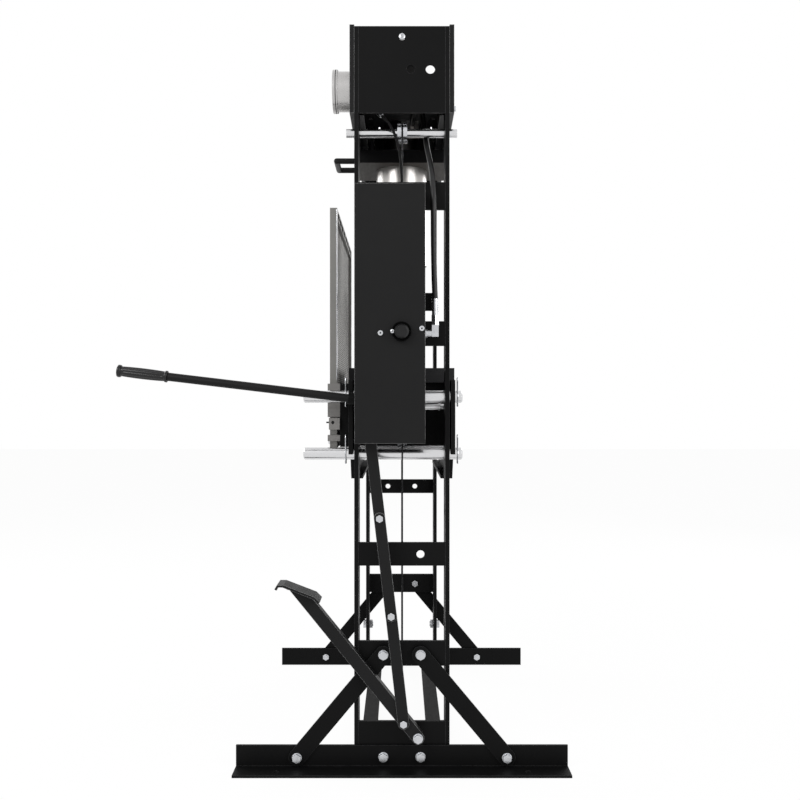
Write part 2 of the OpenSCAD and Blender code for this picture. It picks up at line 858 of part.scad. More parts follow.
// Guard, guides and latch
guard_rear = guard_front - guard_d;
guide_in = guard_hw - guide_lap;
guide_x1 = guard_hw + guide_out;
module guide_block(span) {
    difference() {
        block([guide_in, -guard_front - guide_wall, span[0]], [guide_x1, -guide_rear, span[1]]);
        block([guide_in - cut, -guard_front - guide_gap, span[0] - cut],
              [guard_hw + guide_gap, -guard_rear + guide_gap, span[1] + cut]);
    }
}
module guard_guides() {
    color(GREY) {
        both_sides() for (s = guide_spans) guide_block(s);
        difference() {
            block([guard_hw + guide_gap, -latch_box_front, latch_box[0]],
                  [guard_hw + latch_box_w, -guide_rear, latch_box[1]]);
            rod_x(latch_d + 2 * run_fit, guard_hw - cut, guard_hw + latch_box_w + cut,
                  -guard_front + guard_d / 2, latch_z);
            block([guard_hw + latch_slot_in, -latch_box_front - cut, latch_z - latch_arm_d],
                  [guard_hw + latch_slot_in + latch_slot, -guard_front + guard_d / 2,
                   latch_z + latch_arm_d]);
        }
    }
}
module guard_brackets() {
    color(BLACK) both_sides()
        block([guide_in, -guide_rear, bracket_span[0]], [guide_x1, -bed_y1, bracket_span[1]]);
}
module guard_frame() {
    top = guard_z + guard_h;
    mid = -guard_front + guard_d / 2;
    color(GREY) difference() {
        block([-guard_hw, -guard_front, guard_z], [guard_hw, -guard_rear, top]);
        block([guard_rail - guard_hw, -guard_front - cut, guard_z + guard_rail],
              [guard_hw - guard_rail, -guard_rear + cut, top - guard_rail]);
        block([guard_rail - guard_hw - panel_rebate, mid - panel_t / 2, guard_z + guard_rail - panel_rebate],
              [guard_hw - guard_rail + panel_rebate, mid + panel_t / 2, top - guard_rail + panel_rebate]);
        rod_x(latch_d + 2 * guide_gap, guard_hw - latch_reach - cut, guard_hw + cut, mid, latch_z);
    }
}
module guard_panel() {
    top = guard_z + guard_h;
    mid = -guard_front + guard_d / 2;
    color("#6d6c68") block(
        [guard_rail - guard_hw - panel_rebate, mid - panel_t / 2, guard_z + guard_rail - panel_rebate],
        [guard_hw - guard_rail + panel_rebate, mid + panel_t / 2, top - guard_rail + panel_rebate]);
}
module guard_latch() {
    mid = -guard_front + guard_d / 2;
    x0 = guard_hw + guide_gap;
    color(ZINC) {
        rod_x(latch_d, x0, x0 + latch_len, mid, latch_z, body_fn);
        rod_y(latch_arm_d, -latch_arm_tip, mid, x0 + latch_len - latch_d / 2, latch_z);
    }
}

// Pressure gauge
module gauge_case() {
    color(ZINC) {
        difference() {
            rod_y(bezel_d, -gauge_face, bezel_w - gauge_face, gauge_x, gauge_z, cyl_fn);
            rod_y(gauge_case_d - 2 * gauge_wall, -gauge_face - cut, bezel_w - gauge_face + cut,
                  gauge_x, gauge_z, cyl_fn);
        }
        difference() {
            rod_y(gauge_case_d, bezel_w - gauge_face, -face_y - head_t, gauge_x, gauge_z, cyl_fn);
            rod_y(gauge_case_d - 2 * gauge_wall, bezel_w - gauge_face - cut,
                  -face_y - head_t - gauge_wall, gauge_x, gauge_z, cyl_fn);
        }
        rod_y(gauge_stem_d, -face_y - head_t, gauge_stem_in - post_y, gauge_x, gauge_z);
    }
}
gauge_bore = gauge_case_d - 2 * gauge_wall;
module gauge_dial() {
    color("#eeeeea") {
        rod_y(gauge_bore, -dial_y, dial_t - dial_y, gauge_x, gauge_z, cyl_fn);
        rod_y(needle_pin_d, -needle_y, -dial_y, gauge_x, gauge_z, body_fn);
    }
}
module gauge_glass() {
    color("#dfe8ea") rod_y(gauge_bore, -glass_y, glass_t - glass_y, gauge_x, gauge_z, cyl_fn);
}
module gauge_needle() {
    color("#202020") translate([gauge_x, needle_t - needle_y, gauge_z]) rotate([90, 0, 0])
        linear_extrude(needle_t) difference() {
            union() {
                circle(d = needle_hub_d, $fn = body_fn);
                rotate(needle_zero) polygon([[-needle_tail, -needle_w / 2], [needle_len, 0],
                                             [-needle_tail, needle_w / 2]]);
            }
            circle(d = needle_pin_d + 2 * run_fit, $fn = body_fn);
        }
}

// Gauge line, hose and their fittings
module gauge_line() { color(BLACK) tube(smooth(line_route, 2), line_d, line_sides, [1, 0.2, 0]); }
module hydraulic_hose() {
    color(RUBBER) tube(smooth(hose_route, 3), hose_d, hose_sides, [0, 1, 0.1]);
}
module hose_fittings() {
    color(ZINC) {
        rod_y(fit_d, block_y1, fit_y, fit_x, fit_z);
        rod_y(fit_collar_d, cover_y1, cover_y1 + fit_collar_w, fit_x, fit_z);
        block([fit_x - elbow_w / 2, fit_y - elbow_w / 2, fit_z - elbow_w / 2],
              [fit_x + elbow_w / 2, fit_y + elbow_w / 2, nut_z0]);
        translate([fit_x, fit_y, nut_z0])
            cylinder(d = nut_d / cos(30), h = nut_z1 - nut_z0, $fn = 6);
        rod_z(ferrule_d, nut_z1, ferrule_z1, fit_x, fit_y);
        translate(union_at) aim(union_dir) difference() {
            cylinder(d = union_d, h = union_len, center = true, $fn = 6);
            cylinder(d = line_d + 2 * union_gap, h = union_len + cut, center = true,
                     $fn = small_fn);
        }
    }
}

// Pump cover
module pump_cover() {
    z1 = cover_z + cover_h;
    color(BLACK) difference() {
        block([half_w, -cover_front, cover_z], [cover_x1, cover_y1, z1]);
        block([half_w - cut, cover_wall - cover_front, cover_z + cover_wall],
              [cover_x1 - cover_wall, cover_y1 - cover_wall, z1 - cover_wall]);
        block([link_x - slot_w / 2, -cover_front - cut, slot_z0],
              [link_x + slot_w / 2, cut - cover_front + cover_wall, slot_z1]);
        block([link_x - link_slot_w / 2, link_slot_y0, cover_z - cut],
              [link_x + link_slot_w / 2, link_slot_y1, cover_z + cover_wall + cut]);
        for (p = screw_places)
            rod_x(socket_shank, cover_x1 - cover_wall - cut, cover_x1 + cut, p[0], p[1]);
        rod_x(knob_stem_d + 2 * side_gap, cover_x1 - cover_wall - cut, cover_x1 + cut, knob_y, knob_z);
        rod_y(fit_d, cover_y1 - cover_wall - cut, cover_y1 + cut, fit_x, fit_z);
    }
}
module pump_block() {
    bore = plunger_d + 2 * run_fit;
    x = [link_x - ear_gap - ear_t, link_x + ear_gap];
    color(SATIN) difference() {
        union() {
            block([block_x0, block_y0, block_z0], [block_x1, block_y1, block_z1]);
            for (x0 = x) plate_x(x0, x0 + ear_t) hull() {
                translate([rocker_y, rocker_z]) circle(r = ear_r, $fn = small_fn);
                translate([rocker_y - ear_r, block_z0]) square([2 * ear_r, ear_t]);
            }
            rod_x(rocker_pin_d, x[0], x[1] + ear_t, rocker_y, rocker_z, body_fn);
        }
        rod_z(bore, block_z0 - cut, block_z0 + plunger_bore_h, link_x, rocker_y + nose_arm, body_fn);
        rod_x(knob_stem_d + 2 * run_fit, block_x1 - knob_bore_h, block_x1 + cut, knob_y, knob_z, body_fn);
    }
}
module oil_tank() {
    color(BLACK) {
        difference() {
            block([tank_x0, tank_y0, block_z1], [tank_x1, tank_y1, tank_top]);
            block([tank_x0 + tank_wall, tank_y0 + tank_wall, block_z1 + tank_wall],
                  [tank_x1 - tank_wall, tank_y1 - tank_wall, tank_top - tank_wall]);
        }
        rod_z(tank_cap_d, tank_top, tank_top + tank_cap_h, (tank_x0 + tank_x1) / 2, tank_y0 / 2);
    }
}
module release_knob() {
    x0 = cover_x1 + knob_gap;
    color(BLACK) {
        translate([x0, knob_y, knob_z]) rotate([0, 90, 0]) rotate_extrude($fn = body_fn)
            polygon([[0, 0], [knob_d / 2, 0], [knob_d / 2, knob_base_h], [knob_cap_d / 2, knob_base_h],
                     [knob_cap_d / 2, knob_shoulder_h], [knob_top_d / 2, knob_h], [0, knob_h]]);
        plate_x(x0, x0 + knob_arm_t)
            bar_2d([knob_y, knob_z], [knob_y - knob_arm_len, knob_z], knob_arm_w);
        rod_x(knob_stem_d, block_x1 - knob_bore_h, x0, knob_y, knob_z, body_fn);
        rod_x(knob_bolt_d, x0 + side_gap, x0 + knob_base_h + knob_bolt_rise,
              knob_y - knob_arm_len, knob_z);
    }
}
module plunger() {
    z0 = rocker_z + nose_r + side_gap;
    color(STEEL) rod_z(plunger_d, z0, block_z0 + plunger_bore_h / 2, link_x, rocker_y + nose_arm,
                       body_fn);
}

// Rocker with the lever socket, lever and grip; the lever lies in the plane of the link
function lever_at(y) = lever_z + (-lever_ref_y - y) * tan(lever_tilt);
module along_lever(y) {
    translate([link_x, y, lever_at(y)]) rotate([90 - lever_tilt, 0, 0]) children();
}
socket_len = (socket_front - socket_rear) / cos(lever_tilt);
module pump_rocker() {
    x0 = link_x - cheek_x - rocker_t;
    x1 = link_x + cheek_x + rocker_t;
    gusset_y = link_top[0];
    gusset_rear = -socket_rear - rocker_t;
    color(SATIN) {
        difference() {
            union() {
                for (x = [x0, x1 - rocker_t]) plate_x(x, x + rocker_t) {
                    bar_2d([rocker_y, rocker_z], link_top, 2 * (rocker_r - boss_lip));
                    bar_2d([rocker_y, rocker_z], [rocker_y + nose_arm, rocker_z],
                           2 * (nose_r - boss_lip));
                    polygon([[gusset_rear, rocker_z], [gusset_rear, lever_at(gusset_rear)],
                             [gusset_y, lever_at(gusset_y)], [gusset_y, rocker_z]]);
                }
                rod_x(2 * nose_r, x0, x1, rocker_y + nose_arm, rocker_z);
                rod_x(2 * rocker_r, x0, x1, rocker_y, rocker_z, body_fn);
                along_lever(-socket_rear) cylinder(d = socket_out, h = socket_len, $fn = body_fn);
            }
            along_lever(-socket_rear) translate([0, 0, socket_floor])
                cylinder(d = lever_d, h = socket_len, $fn = body_fn);
            rod_x(rocker_pin_d + 2 * run_fit, x0 - cut, x1 + cut, rocker_y, rocker_z, body_fn);
            block([link_x - cheek_x, gusset_y - link_w, rocker_z - link_w],
                  [link_x + cheek_x, gusset_y + link_w, rocker_z + link_w / 2 + slot_play_z]);
        }
        rod_x(link_pin_d, x0, x1, link_top[0], link_top[1], body_fn);
    }
}
lever_end = socket_len + lever_len;
module hand_lever() {
    color(BLACK) along_lever(-socket_rear) translate([0, 0, socket_floor])
        cylinder(d = lever_d, h = lever_end - socket_floor - grip_cap, $fn = body_fn);
}
// Profile of the grip: share of its length and radius
module lever_grip() {
    r = lever_d / 2;
    color(RUBBER) along_lever(-socket_rear) translate([0, 0, lever_end - grip_len])
        rotate_extrude($fn = body_fn) polygon([
            [r, 0], [grip_d / 2, 0], [grip_d / 2, grip_lip_w], [grip_neck_d / 2, grip_lip_w],
            [grip_d / 2, grip_len / 2], [grip_neck_d / 2, grip_len - grip_end_w],
            [grip_end_d / 2, grip_len - grip_end_w], [grip_end_d / 2, grip_len],
            [0, grip_len], [0, grip_len - grip_cap], [r, grip_len - grip_cap]]);
}

// Foot pedal: an angle-iron arm with a bent pad
module arm_frame() { translate([pedal_y, pedal_z]) rotate(180 - pedal_tilt) children(); }
module arm_strip(w0, w1) { arm_frame() translate([0, w0]) square([pedal_len + pad_reach, w1 - w0]); }
// Lower face of the pad, a plate thickness inside its upper face
pad_low = [for (i = [0 : len(pad_top) - 1])
    let (h = heading(pad_top, i)) pad_top[i] + pad_t * [h[1], -h[0]]];
module above_pad() {
    n = len(pad_low) - 1;
    polygon(concat(pad_low, [[pad_low[n][0], pad_top[1][1] + pad_clear],
                             [pad_low[0][0], pad_top[1][1] + pad_clear]]));
}
module pedal_arm() {
    x1 = pedal_x0 + pedal_leg_t;
    color(BLACK) difference() {
        union() {
            plate_x(pedal_x0, x1) difference() {
                union() {
                    arm_strip(-pedal_w / 2, pedal_w / 2);
                    arm_frame() circle(d = pedal_w, $fn = small_fn);
                }
                above_pad();
            }
            plate_x(x1 - pedal_flange_w, x1) difference() {
                arm_strip(-pedal_w / 2, pedal_flange_t - pedal_w / 2);
                above_pad();
            }
        }
        rod_x(m12_shank + 2 * run_fit, pedal_x0 - cut, x1 + cut, pedal_y, pedal_z, body_fn);
        rod_x(link_pin_d + 2 * run_fit, pedal_x0 - cut, x1 + cut, link_low[0], link_low[1], body_fn);
    }
}
module pedal_pad() {
    n = len(pad_low) - 1;
    color(BLACK) {
        plate_x(pad_x0, pad_x1) polygon(concat(pad_top, [for (i = [n : -1 : 0]) pad_low[i]]));
        plate_x(pedal_x0, pedal_x0 + pedal_leg_t) difference() {
            polygon([pad_low[1], pad_low[2], pad_low[n - 1], pad_low[n],
                     pad_low[n] - [pad_web_back, pad_web_drop]]);
            arm_strip(-pedal_w / 2, pedal_w);
        }
    }
}
module link_bar(a, b, x, play = [0, 0]) {
    plate_x(x, x + link_t) difference() {
        bar_2d(a, b, link_w);
        translate(a) circle(d = link_pin_d + 2 * run_fit, $fn = body_fn);
        translate(b) if (play[1] > 0) hull() for (s = [-1, 1])
            translate([0, s * (play[1] - play[0])])
                circle(d = link_pin_d + 2 * play[0], $fn = small_fn);
        else circle(d = link_pin_d + 2 * run_fit, $fn = body_fn);
    }
}
module pull_link() {
    x = link_x - link_t / 2;
    color(BLACK) {
        link_bar(link_low, link_mid, x);
        link_bar(link_mid, link_high, x + link_t);
        link_bar(link_high, link_top, x, [slot_play_y, slot_play_z]);
    }
}
module link_bolts() {
    x = link_x - link_t / 2;
    color(ZINC) {
        rod_x(link_pin_d, pedal_x0 - side_gap - m10_head, x + link_t, link_low[0], link_low[1], body_fn);
        hex_x(m10_af, pedal_x0 - side_gap - m10_head, pedal_x0 - side_gap, link_low[0], link_low[1]);
        hex_x(m10_af, x + link_t, x + link_t + m10_head, link_low[0], link_low[1]);
        for (p = [link_mid, link_high]) {
            rod_x(link_pin_d, x - m10_head, x + 2 * link_t, p[0], p[1], body_fn);
            hex_x(m10_af, x - m10_head, x, p[0], p[1]);
            hex_x(m10_af, x + 2 * link_t, x + 2 * link_t + m10_head, p[0], p[1]);
        }
    }
}

// Ram carriage: thrust plate under the beams, hung from their ledges by shoes
module ram_carriage() {
    color(GREY) {
        difference() {
            block([-carriage_hw, -carriage_hy, carriage_z0], [carriage_hw, carriage_hy, carriage_z1]);
            rod_z(spigot_d, carriage_z0 - cut, carriage_z1 + cut, 0, 0, cyl_fn);
        }
        for (s = [-1, 1]) scale([1, s, 1]) {
            block([-carriage_hw, cheek_y0, carriage_z1],
                  [carriage_hw, cheek_y0 + cheek_t, carriage_z1 + cheek_h]);
            for (x = [-shoe_x, shoe_x])
                block([x - shoe_hw, cheek_y0 + cheek_t, ledge_z + ledge_t + side_gap],
                      [x + shoe_hw, shoe_y1, ledge_z + ledge_t + side_gap + shoe_t]);
        }
    }
}
module ram_cylinder() {
    color(STEEL) difference() {
        union() {
            rod_z(cyl_d, cyl_z0, carriage_z0, 0, 0, cyl_fn);
            rod_z(spigot_d, carriage_z0, carriage_z0 + spigot_h, 0, 0, cyl_fn);
            block([0, port_y - port_block / 2, port_z - port_block / 2],
                  [port_x, port_y + port_block / 2, port_z + port_block / 2]);
            rod_x(ferrule_d, port_x, port_end, port_y, port_z);
        }
        rod_z(cyl_bore, cyl_z0 - cut, bore_top, 0, 0, cyl_fn);
        rod_z(feed_d, bore_top - cut, port_z, 0, port_y);
        rod_x(feed_d, 0, port_end + cut, port_y, port_z);
    }
}
module cylinder_gland() {
    color(SATIN) difference() {
        union() {
            rod_z(gland_d, cyl_z0 - gland_h, cyl_z0, 0, 0, cyl_fn);
            rod_z(cyl_bore, cyl_z0, cyl_z0 + gland_thread, 0, 0, cyl_fn);
        }
        rod_z(rod_d + 2 * run_fit, cyl_z0 - gland_h - cut, cyl_z0 + gland_thread + cut, 0, 0, cyl_fn);
    }
}
module carriage_handle() {
    y = handle_rod / 2 - handle_out;
    color(BLACK) {
        for (x = [-handle_hx, handle_hx]) {
            rod_y(handle_rod, y, -carriage_hy, x, handle_z);
            translate([x, y, handle_z]) sphere(d = handle_rod, $fn = small_fn);
        }
        rod_x(handle_rod, -handle_hx, handle_hx, y, handle_z);
    }
}
rod_z0 = cyl_z0 - gland_h - rod_out;
module piston_rod() {
    color(STEEL) {
        rod_z(rod_d, rod_z0, bore_top - piston_gap, 0, 0, cyl_fn);
        rod_z(cyl_bore - 2 * run_fit, bore_top - piston_gap - piston_t, bore_top - piston_gap, 0, 0,
              cyl_fn);
    }
}
module ram_nose() {
    color(SATIN) difference() {
        rod_z(nose_d, rod_z0 - nose_h, rod_z0, 0, 0, cyl_fn);
        rod_z(nose_bore, rod_z0 - nose_h - cut, rod_z0 - nose_h + nose_bore_h, 0, 0, body_fn);
    }
}

// Sheaves, their axles and the lifting cable
module sheave(x, z, bore) {
    a = (sheave_w - groove_w) / 2;
    r = sheave_d / 2;
    color(ZINC) translate([x, cable_y - sheave_w / 2, z]) rotate([-90, 0, 0])
        rotate_extrude($fn = body_fn) polygon([
            [bore / 2, 0], [r, 0], [r, a], [groove_r, a], [groove_r, a + groove_w],
            [r, a + groove_w], [r, sheave_w], [bore / 2, sheave_w]]);
}
module top_sheave() { sheave(pin_x, top_axle_z, top_axle_d + 2 * run_fit); }
module right_foot_sheave() { sheave(pin_x, foot_sheave_z, low_axle_d + 2 * run_fit); }
module left_foot_sheave() { sheave(-pin_x, foot_sheave_z, low_axle_d + 2 * run_fit); }
module right_bed_sheave() { sheave(bed_sheave_x, bed_sheave_z, low_axle_d + 2 * run_fit); }
module left_bed_sheave() { sheave(-bed_sheave_x, bed_sheave_z, low_axle_d + 2 * run_fit); }
// The cable crosses from the inner side of the top sheave to the outer side of the bed sheave
bed_span = [bed_sheave_x - pin_x, bed_sheave_z - top_axle_z];
cross_dir = atan2(bed_span[1], bed_span[0]) + asin(2 * wrap_r / norm(bed_span));
leave_dir = cross_dir + 270;
cable_anchor = [-pin_x - wrap_r * cos(leave_dir), top_axle_z + wrap_r * sin(leave_dir)];
module sheave_axles() {
    color(STEEL) {
        rod_y(top_axle_d, -top_axle_front, top_axle_rear, pin_x, top_axle_z, body_fn);
        for (y = top_nub_y)
            rod_z(top_nub_d, top_axle_z, top_axle_z + top_axle_d / 2 + top_nub_h, pin_x, y);
        for (x = [-pin_x, pin_x]) rod_y(low_axle_d, -post_y, post_y, x, foot_sheave_z, body_fn);
        for (x = [-bed_sheave_x, bed_sheave_x])
            rod_y(low_axle_d, -bed_y0, bed_y0, x, bed_sheave_z, body_fn);
        rod_y(low_axle_d, -post_y, post_y, cable_anchor[0], cable_anchor[1], body_fn);
    }
}
cable_route = concat(
    [[-pin_x - wrap_r, cable_y, winch_z]],
    arc_xz([-pin_x, foot_sheave_z], wrap_r, 180, 270, cable_step),
    arc_xz([pin_x, foot_sheave_z], wrap_r, 270, 360, cable_step),
    arc_xz([pin_x, top_axle_z], wrap_r, 0, leave_dir, cable_step),
    arc_xz([bed_sheave_x, bed_sheave_z], wrap_r, leave_dir - 180, -90, cable_step),
    arc_xz([-bed_sheave_x, bed_sheave_z], wrap_r, -90, -leave_dir, cable_step),
    [[cable_anchor[0], cable_y, cable_anchor[1] - low_axle_d / 2]]);
module lift_cable() { color(STEEL) tube(cable_route, cable_d, cable_sides, [0, 1, 0]); }

// Winch on the outside of the left upright
winch_top = winch_plate[0];
module winch_frame() {
    y0 = drum_y - winch_hy;
    y1 = drum_y + winch_hy;
    z0 = winch_z - winch_drop;
    color(SATIN) mirror([1, 0, 0]) difference() {
        union() {
            block([winch_x0, y0, z0], [winch_x1, y1, winch_top]);
            block([half_w, y0, winch_top], [half_w + winch_wall, y1, winch_top + winch_ear_h]);
        }
        block([winch_x0 + winch_wall, y0 + winch_wall, z0 + winch_wall],
              [winch_x1 - winch_wall, y1 - winch_wall, winch_top - winch_wall]);
        rod_x(winch_shaft_d + 2 * run_fit, winch_x0 - cut, winch_x1 + cut, drum_y, winch_z, body_fn);
        rod_z(cable_hole_d, z0 - cut, z0 + winch_wall + cut, pin_x + wrap_r, cable_y);
        for (y = [-winch_bolt_y, winch_bolt_y])
            rod_x(m8_shank, half_w - cut, half_w + winch_wall + cut, drum_y + y,
                  winch_top + winch_ear_h / 2);
    }
}
module winch_drum() {
    x0 = winch_x0 + winch_wall + side_gap;
    x1 = winch_x1 - winch_wall - side_gap;
    color(STEEL) mirror([1, 0, 0]) {
        rod_x(winch_shaft_d, winch_x0, winch_x1 + crank_gap, drum_y, winch_z, body_fn);
        rod_x(2 * drum_r, x0, x1, drum_y, winch_z, body_fn);
        for (x = [x0, x1 - drum_flange_t])
            rod_x(2 * drum_flange_r, x, x + drum_flange_t, drum_y, winch_z, body_fn);
    }
}
module winch_crank() {
    x0 = winch_x1 + crank_gap;
    color(SATIN) mirror([1, 0, 0]) {
        plate_x(x0, x0 + crank_t)
            bar_2d([drum_y, winch_z], [drum_y, winch_z - crank_len], crank_w);
        rod_x(crank_grip_d, x0 + crank_t, x0 + crank_t + crank_grip_len, drum_y,
              winch_z - crank_len);
    }
}

right_posts();
left_posts();
right_cross_plates();
left_cross_plates();
front_head_beam();
rear_head_beam();
head_top_plate();
right_foot();
left_foot();
side_braces();
base_ties();
frame_bolts();
bed_front_beam();
bed_rear_beam();
bed_spacers();
bed_tie_rods();
bed_pins();
pin_clips();
guard_guides();
guard_brackets();
gauge_case();
gauge_dial();
gauge_glass();
gauge_line();
hydraulic_hose();
hose_fittings();
pump_cover();
pump_block();
oil_tank();
sheave_axles();
lift_cable();
winch_frame();
gauge_needle();
release_knob();
pump_rocker();
hand_lever();
lever_grip();
plunger();
pedal_arm();
pedal_pad();
pull_link();
link_bolts();
ram_carriage();
ram_cylinder();
cylinder_gland();
carriage_handle();
piston_rod();
ram_nose();
guard_frame();
guard_panel();
guard_latch();
top_sheave();
right_foot_sheave();
left_foot_sheave();
right_bed_sheave();
left_bed_sheave();
winch_drum();
winch_crank();
right_arbor_plate();
left_arbor_plate();
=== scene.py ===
"""Workshop press with a sliding ram: finishes, small parts, light and camera."""
import json
import math

import bpy
import numpy as np
from mathutils import Matrix, Vector

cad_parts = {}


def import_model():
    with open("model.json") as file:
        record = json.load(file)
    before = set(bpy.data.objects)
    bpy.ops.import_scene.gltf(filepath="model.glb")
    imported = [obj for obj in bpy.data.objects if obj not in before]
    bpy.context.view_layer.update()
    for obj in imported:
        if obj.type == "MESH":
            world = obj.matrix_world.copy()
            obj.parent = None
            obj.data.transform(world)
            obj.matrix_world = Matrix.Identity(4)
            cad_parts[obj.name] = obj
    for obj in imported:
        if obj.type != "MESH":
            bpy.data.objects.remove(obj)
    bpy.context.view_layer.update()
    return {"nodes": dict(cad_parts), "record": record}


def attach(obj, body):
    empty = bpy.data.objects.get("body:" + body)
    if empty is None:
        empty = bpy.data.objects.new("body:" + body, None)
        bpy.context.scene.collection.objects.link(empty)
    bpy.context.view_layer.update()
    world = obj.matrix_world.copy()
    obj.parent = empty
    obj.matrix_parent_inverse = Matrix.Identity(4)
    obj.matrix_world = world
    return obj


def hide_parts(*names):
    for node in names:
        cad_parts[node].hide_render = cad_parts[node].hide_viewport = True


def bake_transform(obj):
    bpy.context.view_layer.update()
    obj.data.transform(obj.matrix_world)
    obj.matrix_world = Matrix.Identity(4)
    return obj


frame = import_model()
MM = 0.001

# ---------------------------------------------------------------- camera
EYE = (2.652, -0.0046, 0.890)
LENS = 41.27


def photo_camera():
    """Camera on the pump side, level, looking along -X."""
    data = bpy.data.cameras.new("photo_camera")
    data.lens, data.sensor_width = LENS, 36.0
    data.clip_start, data.clip_end = 0.05, 60.0
    cam = bpy.data.objects.new("photo_camera", data)
    cam.location = EYE
    cam.rotation_euler = (math.radians(90), 0, math.radians(90))
    bpy.context.scene.collection.objects.link(cam)
    bpy.context.scene.camera = cam


photo_camera()


# ---------------------------------------------------------------- shader maths
MIX_SHARE, MIX_FIRST, MIX_SECOND, MIX_RESULT = 0, 6, 7, 2      # a Mix node's sockets for colours


class Socket:
    """A shader output that takes part in Python sums."""

    def __init__(self, finish, out):
        self.finish, self.out = finish, out

    def _math(self, op, a, b):
        return self.finish.node("Math", {"operation": op}, a, b)

    def __add__(self, other): return self._math("ADD", self, other)
    def __radd__(self, other): return self._math("ADD", other, self)
    def __sub__(self, other): return self._math("SUBTRACT", self, other)
    def __rsub__(self, other): return self._math("SUBTRACT", other, self)
    def __mul__(self, other): return self._math("MULTIPLY", self, other)
    def __truediv__(self, other): return self._math("DIVIDE", self, other)
    def __pow__(self, other): return self._math("POWER", self, other)


class Finish:
    """A material and the nodes that it is made of."""

    def __init__(self, name):
        self.material = bpy.data.materials.new(name)
        self.material.use_nodes = True
        self.tree = self.material.node_tree
        self.tree.nodes.clear()
        self.end = self.tree.nodes.new("ShaderNodeOutputMaterial")

    def node(self, kind, settings=None, *values, output=0, **named):
        """Adds a node, sets its settings first and then its sockets, and returns one output."""
        n = self.tree.nodes.new("ShaderNode" + kind)
        for key, value in (settings or {}).items():
            setattr(n, key, value)
        sockets = list(zip(range(len(values)), values))
        sockets += [(key.replace("_", " "), value) for key, value in named.items()]
        for key, value in sockets:
            if isinstance(value, Socket):
                self.tree.links.new(value.out, n.inputs[key])
            else:
                n.inputs[key].default_value = value
        return Socket(self, n.outputs[output])

    def place(self, scale=(1, 1, 1)):
        """Object coordinates, in metres, stretched by scale."""
        return self.node("Mapping", None, self.node("TexCoord", None, output="Object"), Scale=scale)

    def noise(self, scale, detail=3.0, stretch=(1, 1, 1)):
        """Noise about 0.5, with blobs about 1 / scale metres across."""
        return self.node("TexNoise", None, Vector=self.place(stretch), Scale=scale, Detail=detail,
                         Roughness=0.55)

    def above(self, value, low, high):
        """0 under low, 1 over high and smooth between."""
        return self.node("MapRange", {"interpolation_type": "SMOOTHSTEP"}, value, low, high)

    def tint(self, share, first, second):
        """Colour that goes from first to second with share."""
        n = self.tree.nodes.new("ShaderNodeMix")
        n.data_type = "RGBA"
        for index, value in ((MIX_SHARE, share), (MIX_FIRST, first), (MIX_SECOND, second)):
            if isinstance(value, Socket):
                self.tree.links.new(value.out, n.inputs[index])
            else:
                n.inputs[index].default_value = value if index == MIX_SHARE else (*value, 1)
        return Socket(self, n.outputs[MIX_RESULT])

    def bump(self, height, depth, normal=None):
        """Surface relief of a given depth in metres."""
        named = {"Height": height, "Distance": depth, "Strength": 1.0}
        if normal is not None:
            named["Normal"] = normal
        return self.node("Bump", None, **named)

    def round_edges(self, radius):
        """Normal that is rounded over sharp edges, as a folded or ground edge is."""
        return self.node("Bevel", {"samples": 4}, Radius=radius)

    def edges(self, radius):
        """Share that rises to 1 on sharp edges."""
        face = self.node("NewGeometry", None, output="Normal")
        turned = self.node("VectorMath", {"operation": "DOT_PRODUCT"}, self.round_edges(radius), face,
                           output="Value")
        return self.above(1 - turned, 0.02, 0.22)

    def surface(self, **sockets):
        """Principled shader with these sockets as the material's surface."""
        shader = self.node("BsdfPrincipled", None, **sockets)
        self.tree.links.new(shader.out, self.end.inputs["Surface"])
        return self.material


# ---------------------------------------------------------------- finishes
def painted(name, colour, rough=0.42, mottle=0.2, edge=(0.05, 0.05, 0.052), fold=0.0012, gloss=0.12):
    """Paint with a fine orange-peel skin, lighter on folds and edges as worn paint and as a painted
    highlight.
    """
    f = Finish(name)
    cloud = f.noise(9, 4)
    grime = f.noise(45, 5)
    # lighter edges: partly paint worn thin, partly a painted highlight where light glints on rounded edges
    thin = f.edges(fold * 1.4) * f.above(f.noise(60, 5), 0.2, 0.5)
    shade = f.tint(cloud, tuple(c * (1 - mottle) for c in colour), tuple(c * (1 + mottle) for c in colour))
    shade = f.tint(thin, shade, edge)
    peel = f.bump(f.noise(900, 2), 0.00005, f.round_edges(fold))
    return f.surface(Base_Color=shade, Roughness=rough + (grime - 0.5) * 0.16, Normal=peel,
                     Specular_IOR_Level=gloss)


def paint_with_lit_bare_underside(name, paint, bare):
    """Black paint on the sides and a warm grey on faces that look down: bare steel with a painted
    reflection of the cylinder below.
    """
    f = Finish(name)
    up = f.node("SeparateXYZ", None, f.node("NewGeometry", None, output="Normal"), output="Z")
    # faces that look down get the warm grey, partly painted light reflected up from the bright cylinder
    under = 1 - f.above(up, -0.9, -0.5)
    marks = f.noise(120, 4, (0.2, 1, 1))
    shade = f.tint(under, paint, bare)
    shade = f.tint((marks - 0.4) * under, shade, tuple(c * 0.6 for c in bare))
    return f.surface(Base_Color=shade, Roughness=0.42 + (marks - 0.5) * 0.14, Metallic=under * 0.05,
                     Normal=f.bump(marks, 0.00004, f.round_edges(0.001)), Specular_IOR_Level=0.03)


def bare_steel(name, colour, rough=0.28, stretch=(1, 1, 1), grain=260, spots=0.5, marks=1.0):
    """Machined or plated steel with a grain along one direction and a few dull spots."""
    f = Finish(name)
    lines = f.noise(grain, 3, stretch)
    dull = f.above(f.noise(70, 4), 0.5, 0.75) * spots
    shade = f.tint(dull, colour, tuple(c * 0.6 for c in colour))
    shade = f.tint(f.above(lines, 0.3, 0.7) * 0.2, shade, tuple(min(1, c * 1.12) for c in colour))
    relief = f.bump(lines, 0.00004 * marks, f.round_edges(0.0006))
    return f.surface(Base_Color=shade, Metallic=1.0, Normal=relief,
                     Roughness=rough + (lines - 0.5) * (0.16 * marks) + dull * 0.15)


